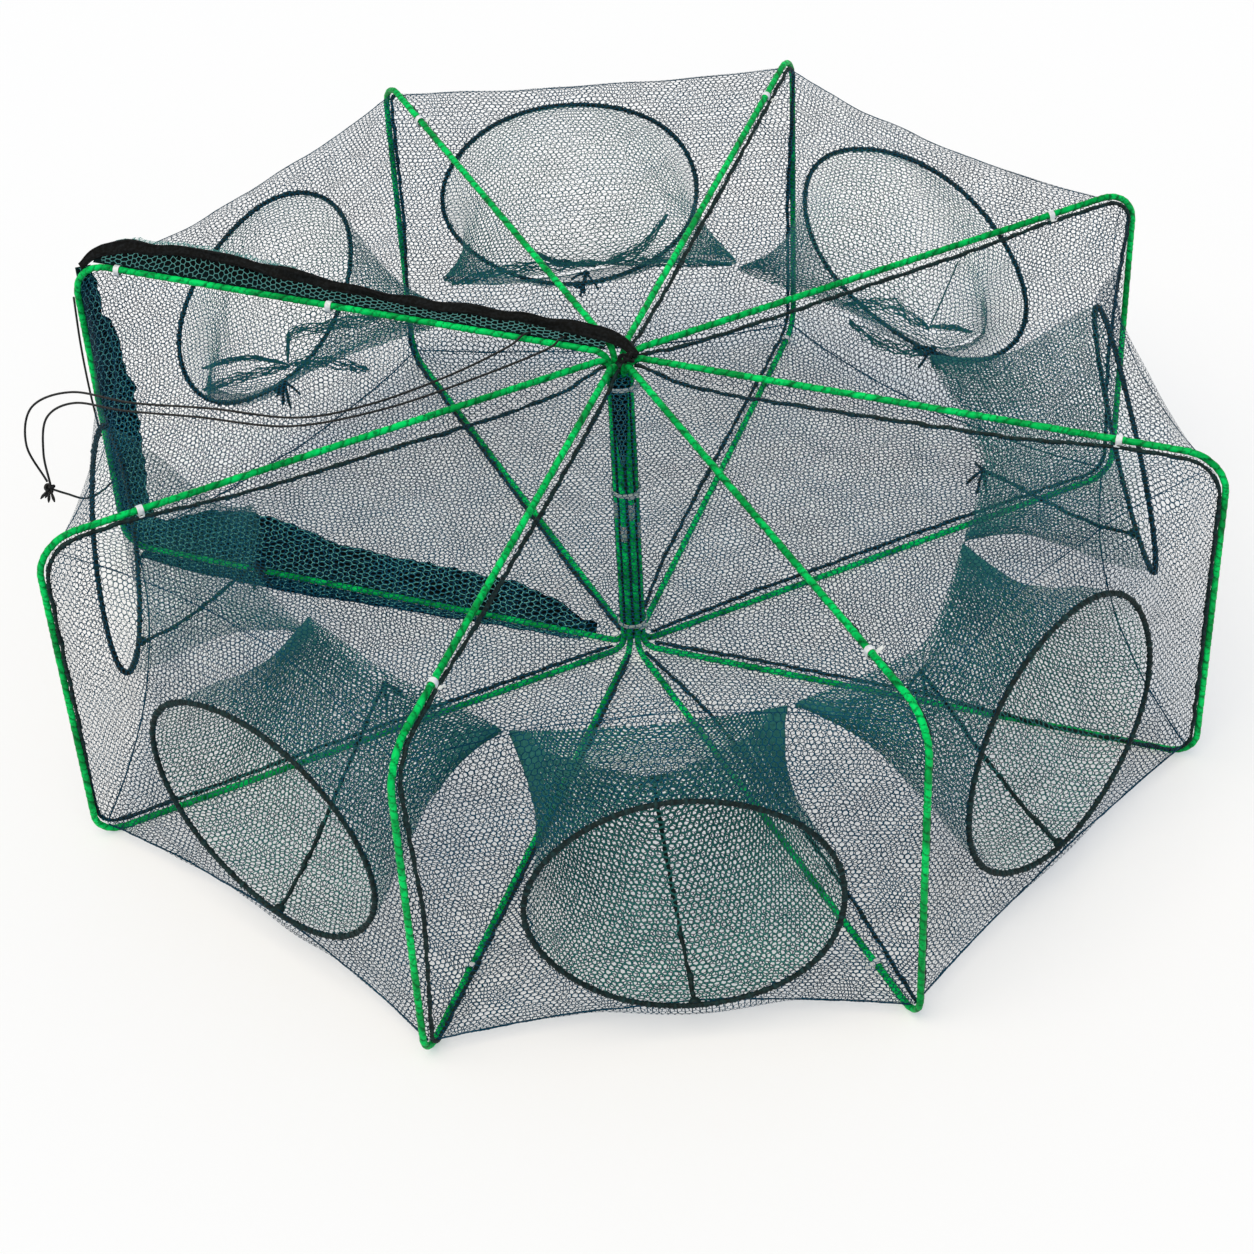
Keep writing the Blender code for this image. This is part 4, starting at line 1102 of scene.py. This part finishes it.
# Column core. The bays' inner edges are gathered into one dark rope inside the ring of legs, and
# laced to it by beaded cords that lie in the grooves between the legs.
CORE_RADIUS = 0.0044
CORE_ENDS = ((0, 0, 0.012), (0, 0, 0.290))
CORE_BUMPS = 0.4  # how much of the lacing's painted highlight shows on the core and the lacings
COLUMN_LACING = 0.0008
LACING_RING = 0.0095
core_line = np.linspace(*CORE_ENDS, 40)
points, faces, bump = laced_rope(core_line, CORE_RADIUS, 950, (1, 0, 0), bumps=0.25, sides=12)
piece("column_core", points, faces, hoop_cord, "frame_5", CORE_BUMPS * bump)
for bay in BAYS:
    groove = turned(core_line * (1, 1, 0.93) + (LACING_RING, 0, 0.010), bisector(bay))
    points, faces, bump = laced_rope(groove, COLUMN_LACING, 960 + bay, (0.6, 0.8, 0), bumps=0.75, sides=6)
    name = f"column_lacing_{bay}"
    lacing = piece(name, points, faces, hoop_cord, shade=CORE_BUMPS * bump)
    follows_its_loops(lacing, bay)


# Mouth hem. A black woven tape, folded double over the edge of the netting, runs beside loop 8's
# upper arm, bulges up over its shoulder, and is pulled down tight across the top of the column.
HEM_STEPS = 220
HEM_THICKNESS = 0.0034
HEM_SOFTENED = 13  # points over which the hem's turns are softened
TAPE_KNOT_CENTRE = np.array([-0.0095, 0.0085, 0.3020])
TAPE_KNOT_SIZE = 0.0018

# Woven polyester tape: soft black, faintly ribbed, with grey blotches painted in at random as highlights on
# its folds.
black_tape, tree, shader = finish("woven_black_tape", 0.72, 1.5, 0.08)
ribs_and_painted_glints = mottled(tree, 0.0024, 0.42, 0.70, "#020303", "#16191b")
tree.links.new(ribs_and_painted_glints, shader.inputs["Base Color"])
shader.inputs["Sheen Weight"].default_value = 0.05

hem_share = np.linspace(0, 1, HEM_STEPS)
hem_reach = np.interp(hem_share, [0, 0.93, 1], [-0.0160, 0.4400, 0.4590])
# Each row is a place along the arm: how far out, the tape's middle beside the arm and its height,
# and its width and tilt in degrees.
HEM_PLACES = np.array([
    (-0.0160, 0.0060, 0.3010, 0.0070, -70), (-0.0080, -0.0030, 0.3055, 0.0095, -55),
    (0.0100, -0.0085, 0.3075, 0.0125, -45), (0.0320, -0.0105, 0.3080, 0.0130, -45),
    (0.0600, -0.0110, 0.3075, 0.0120, -45), (0.1020, -0.0110, 0.3080, 0.0095, -45),
    (0.1600, -0.0105, 0.3070, 0.0110, -45), (0.1880, -0.0105, 0.3070, 0.0090, -50),
    (0.2390, -0.0110, 0.3080, 0.0090, -55), (0.2730, -0.0125, 0.3110, 0.0140, -45),
    (0.3070, -0.0150, 0.3130, 0.0105, -40), (0.3500, -0.0165, 0.3140, 0.0095, -40),
    (0.3960, -0.0155, 0.3120, 0.0105, -45), (0.4180, -0.0140, 0.3120, 0.0140, -50),
    (0.4340, -0.0115, 0.3095, 0.0130, -52), (0.4470, -0.0075, 0.3040, 0.0105, -56),
    (0.4545, -0.0045, 0.2975, 0.0085, -60), (0.4590, -0.0025, 0.2905, 0.0060, -60),
])
hem_side, hem_height, hem_width, hem_tilt = (
    np.interp(hem_reach, HEM_PLACES[:, 0], HEM_PLACES[:, i]) for i in (1, 2, 3, 4)
)
hem_side, hem_height, hem_width, hem_tilt = (
    softened(np.pad(v, HEM_SOFTENED // 2, mode="edge"), HEM_SOFTENED)
    for v in (hem_side, hem_height, hem_width, hem_tilt)
)
hem_line = np.column_stack([hem_reach, hem_side, hem_height + 0.0010 * soft_waves(hem_reach, 0, 31, 0.035)])
tilt = np.radians(hem_tilt + 18 * soft_waves(hem_reach, 0, 32, 0.07))[:, None, None]
flat_section = rounded_box(1.0, 1.0, power=3.0, sides=28)
wrinkle = 1 + 0.22 * soft_waves(hem_reach[:, None], flat_section[None, :, 0] * 0.02, 33, 0.022)
fold_turn = 3.2 * flat_section[None, :, 0] + 0.5 * soft_waves(hem_reach, 0, 34, 0.09)[:, None]
tape_folds = 1 + 0.36 * np.sin(2 * np.pi * fold_turn)
section = flat_section[None] * np.stack([
    np.broadcast_to(0.86 * hem_width[:, None], wrinkle.shape), HEM_THICKNESS * wrinkle * tape_folds
], -1)
section = np.concatenate([
    section[..., :1] * np.cos(tilt) - section[..., 1:] * np.sin(tilt),
    section[..., :1] * np.sin(tilt) + section[..., 1:] * np.cos(tilt),
], -1)
points, faces = carried(hem_line, section, (0, -1, 0))
hem = piece("folded_tape", turned(points, mouth_plane), faces, black_tape, body="frame_1")
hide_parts("mouth_hem")

# The tape's end is tied in a flat knot over the column's near side.
tape_knot_line = TAPE_KNOT_CENTRE + TAPE_KNOT_SIZE * np.column_stack([
    np.sin(trefoil) + 2 * np.sin(2 * trefoil),
    np.cos(trefoil) - 2 * np.cos(2 * trefoil),
    0.8 * np.sin(3 * trefoil),
])
knot_outward = tape_knot_line - TAPE_KNOT_CENTRE + np.array([0, 0, 0.004])
points, faces = carried(tape_knot_line, rounded_box(0.0034, 0.0022), knot_outward, closed=True)
tape_knot = piece("tape_knot", turned(points, mouth_plane), faces, black_tape, body="frame_1")
folds_with_mouth(hem)
folds_with_mouth(tape_knot)


# Mouth cuff. Black cloth backs a strip of coarse green netting just inside loop 8, down its outer
# leg and along its lower arm, with a ragged free edge. A second strip joins the tape to the upper
# arm, and a narrow one lies along the other side of the lower arm.
CUFF_CELL = 0.0056
ARM_STRIP_CELL = 0.0040
CUFF_TWINE = 0.00058
CUFF_STRETCH = 1.22  # of the meshes along the strip, and as much less across it
CUFF_INSET = 0.0005
CUFF_BEHIND = 0.0022  # the wire, towards the trap's back
CUFF_TILT = np.radians(35)
CUFF_TOP = HEIGHT - 0.010
CUFF_HUB = 0.034
# The cuff's width at places along it, from the top of the leg to the column.
CUFF_WIDTHS = np.array([
    (0.000, 0.0130), (0.033, 0.0160), (0.050, 0.0160), (0.056, 0.0215), (0.076, 0.0235), (0.113, 0.0265),
    (0.129, 0.0310), (0.134, 0.0275), (0.150, 0.0285), (0.183, 0.0275), (0.237, 0.0240), (0.277, 0.0270),
    (0.311, 0.0240), (0.345, 0.0390), (0.385, 0.0450), (0.421, 0.0430), (0.467, 0.0330), (0.512, 0.0310),
    (0.580, 0.0310), (0.630, 0.0300), (0.670, 0.0230), (0.693, 0.0100),
])
FLOOR_STRIP_WIDTHS = np.array([
    (0.04, 0.003), (0.10, 0.006), (0.16, 0.009), (0.25, 0.013), (0.31, 0.016), (0.40, 0.014), (0.445, 0.010),
])
FLOOR_STRIP_SIDE = 0.0022  # of the lower arm's plane, towards the viewer
FLOOR_STRIP_UP = 0.0011
LINING_COLUMNS = 9
LINING_STARTS = 0.0040  # the lining's black begins this far in, behind doubled green netting

# Black lining cloth: plain weave, dull, soaks up the light. Beside the wire it is seen through
# doubled netting, which gives it the netting's green.
black_cloth, tree, shader = finish("black_lining_cloth", 0.85, 1.5, 0.05)
woven = mottled(tree, 0.0016, 0.40, 0.70, "#010303", "#04080a")
tree.links.new(mixed(tree, shade_of(tree), woven, colour("#0e2c30")), shader.inputs["Base Color"])

# Coarse twine: sea green, thicker and duller than the bays' twine, and darker down the leg.
coarse_twine, tree, shader = finish("sea_green_twine", 0.6, 1.5, 0.15)
salty = mottled(tree, 0.030, 0.35, 0.65, "#62bcb8", "#7accc6")
tree.links.new(mixed(tree, shade_of(tree), colour("#06181a"), salty), shader.inputs["Base Color"])

cuff_foot = loop_outline(CUFF_INSET)[2]
cuff_line = np.vstack([
    [[cuff_foot[0, 0], 0, CUFF_TOP]], cuff_foot, [[CUFF_HUB, 0, cuff_foot[-1, 2]]]
])
cuff_along = lengths_along(cuff_line)
cuff_length = cuff_along[-1]


def cuff_width(along):
    """The cuff's width, with a free edge that was cut roughly by hand."""
    return np.interp(along, *CUFF_WIDTHS.T) + 0.0011 * soft_waves(along, 0, 71, 0.014)


def cuff_surface(along, share):
    """Points of the cuff in loop 8's axes, from a length along it and a share of its width.

    The strip leans back from the loop's plane. At the corner its inner edge is mitred.
    """
    corner_x, corner_z = cuff_foot[0, 0], cuff_foot[-1, 2]
    x = np.interp(along, cuff_along, cuff_line[:, 0])
    z = np.interp(along, cuff_along, cuff_line[:, 2])
    wide = cuff_width(along)
    far = wide * np.cos(CUFF_TILT)
    inner_x = np.minimum(x, corner_x - far)
    inner_z = np.maximum(z, corner_z + far)
    y = -CUFF_BEHIND - wide * np.sin(CUFF_TILT) * share
    return np.stack([x + (inner_x - x) * share, y, z + (inner_z - z) * share], -1)


def arm_strip_surface(along, share):
    """Points of the strip from loop 8's upper arm, at share 0, up to the tape's near edge, at 1."""
    middle = points_at(along, hem_line[:, 0], hem_line)
    lean = np.radians(45)
    half = 0.10 * np.interp(along, hem_line[:, 0], hem_width)
    edge = middle + half[..., None] * np.array([0, np.cos(lean), -np.sin(lean)])
    start = np.stack([along, np.full_like(along, -0.0014), np.full_like(along, TOP_LINE + 0.0026)], -1)
    return start + (edge - start) * share[..., None]


def floor_strip_surface(along, share):
    """Points of the narrow strip that lies on the viewer's side of loop 8's lower arm."""
    wide = np.interp(along, *FLOOR_STRIP_WIDTHS.T) + 0.0008 * soft_waves(along, 0, 78, 0.018)
    return np.stack([along, FLOOR_STRIP_SIDE + wide * share, np.full_like(along, FLOOR_STRIP_UP)], -1)


def fringe_surface(along, share):
    """Points of the netting's raw edge, which stands out above the tape near the shoulder."""
    middle = points_at(along, hem_line[:, 0], hem_line)
    half = 0.36 * np.interp(along, hem_line[:, 0], hem_width)
    tall = np.interp(along, [0.262, 0.30, 0.36, 0.40, 0.436], [0.0005, 0.0034, 0.0044, 0.0040, 0.0005])
    far = half + share * (tall + 0.0012 * soft_waves(along, 0, 79, 0.012))
    return middle + far[..., None] * np.array([0, -0.7, 0.7])


def even_width(along):
    """The width of a strip whose knots are spaced as if it were as wide all along."""
    return np.full_like(along, 0.0130)


def coarse_strip(surface, start, end, width, cell, seed):
    """Coarse netting over a strip from a length along it and a share of its width, as triangles."""
    row_gap = 1.5 * cell / np.sqrt(3) * CUFF_STRETCH
    across_gap = cell / 2 / CUFF_STRETCH
    widest = np.max(width(np.linspace(start, end, 200)))
    i, j = np.indices((int((end - start) / row_gap), int(1.12 * widest / across_gap)))
    along = start + zigzag(i, j) * row_gap
    along = np.clip(along + 0.0009 * soft_waves(along, j * 0.003, seed, 0.025), start, end)
    random = np.random.default_rng(seed)
    along = along + random.normal(0, 0.0004, along.shape)
    share = (j * across_gap + random.normal(0, 0.0003, along.shape)) / width(along)
    knots = turned(surface(along, np.clip(share, 0, 1)), mouth_plane)
    return twine_net(knots, share < 1.10, CUFF_TWINE)


# Each strip's surface, start, end and width, its netting's cell and brightness, and its lining's
# rows, how far the lining lies from the netting, and how green it looks beside the wire.
STRIPS = (
    (cuff_surface, 0.0, cuff_length, cuff_width, CUFF_CELL, 0.90, 300, (0, -0.0007, 0), 0.5),
    (floor_strip_surface, 0.045, 0.448, even_width, CUFF_CELL, 0.90, 160, (0, -0.0006, -0.0006), 0.25),
    (arm_strip_surface, 0.012, 0.446, even_width, ARM_STRIP_CELL, 0.42, 160, (0, 0, -0.0006), 0.25),
    (fringe_surface, 0.262, 0.436, even_width, ARM_STRIP_CELL, 0.42, 0, None, 0),
)
backings, nettings, doubled_shares, brightness = [], [], [], []
for number, (surface, start, end, width, cell, bright, rows, away, green) in enumerate(STRIPS):
    netting = coarse_strip(surface, start, end, width, cell, 72 + number)
    nettings.append(netting)
    brightness.append(np.full(len(netting[0]), bright))
    if not rows:
        continue
    i, j = np.indices((rows, LINING_COLUMNS))
    along = start + (end - start) * i / (rows - 1)
    share = j / (LINING_COLUMNS - 1)
    backing = surface(along, share).reshape(-1, 3) + away
    nearness = 1 - np.clip((share * width(along) - LINING_STARTS) / 0.0025, 0, 1)
    doubled_shares.append((nearness * green).ravel())
    backings.append((turned(backing, mouth_plane), grid_faces(rows, LINING_COLUMNS)))

points, faces = joined(backings)
doubled = np.concatenate(doubled_shares)
cuff_back = piece("cuff_lining", points, faces, black_cloth, "frame_1", doubled)
folds_with_mouth(cuff_back)

points, faces = joined(nettings)
bright = np.concatenate(brightness)
cuff_net = piece("cuff_netting", points, faces, coarse_twine, "frame_1", bright, False)
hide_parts("mouth_cuff")
folds_with_mouth(cuff_net)


# Cuff tail. The coarse netting's end is gathered, with its black lining, down the front of the
# column under the top tie.
TAIL_RADIUS = RING + WIRE / 2 + 0.0004 + TAIL_THICKNESS / 2
TAIL_TOP = HEIGHT - 0.016
TAIL_LENGTH = 0.085
TAIL_AZIMUTH = np.radians(-97)
TAIL_SPREAD = np.radians(38)  # to each side, at its top
TAIL_BRIGHTNESS = 0.42


def tail_surface(share, side, lift):
    """Points of the tail wrapped on the column: a cylinder's front that narrows on its way down."""
    spread = TAIL_SPREAD * np.interp(share, [0, 0.5, 1], [1.0, 0.7, 0.25])
    angle = TAIL_AZIMUTH + spread * side
    radius = TAIL_RADIUS + lift + 0.0004 * np.cos(9 * side + 5 * share)
    return np.stack([radius * np.cos(angle), radius * np.sin(angle), TAIL_TOP - TAIL_LENGTH * share], -1)


i, j = np.indices((40, 9))
tail_back = tail_surface(i / 39, j / 4 - 1, -0.0002).reshape(-1, 3)
faces = grid_faces(40, 9)
plain = np.zeros(len(tail_back))
lining = piece("tail_lining", tail_back, faces, black_cloth, "frame_5", plain)
i, j = np.indices((18, 7))
share = np.clip((zigzag(i, j) + 0.2) / 17.4, 0, 1)
knots = tail_surface(share, j / 3 - 1, 0.0006)
points, faces = twine_net(knots, np.ones(share.shape, bool), CUFF_TWINE)
bright = np.full(len(points), TAIL_BRIGHTNESS)
tail = piece("tail_netting", points, faces, coarse_twine, "frame_5", bright, False)
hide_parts("mouth_tail")
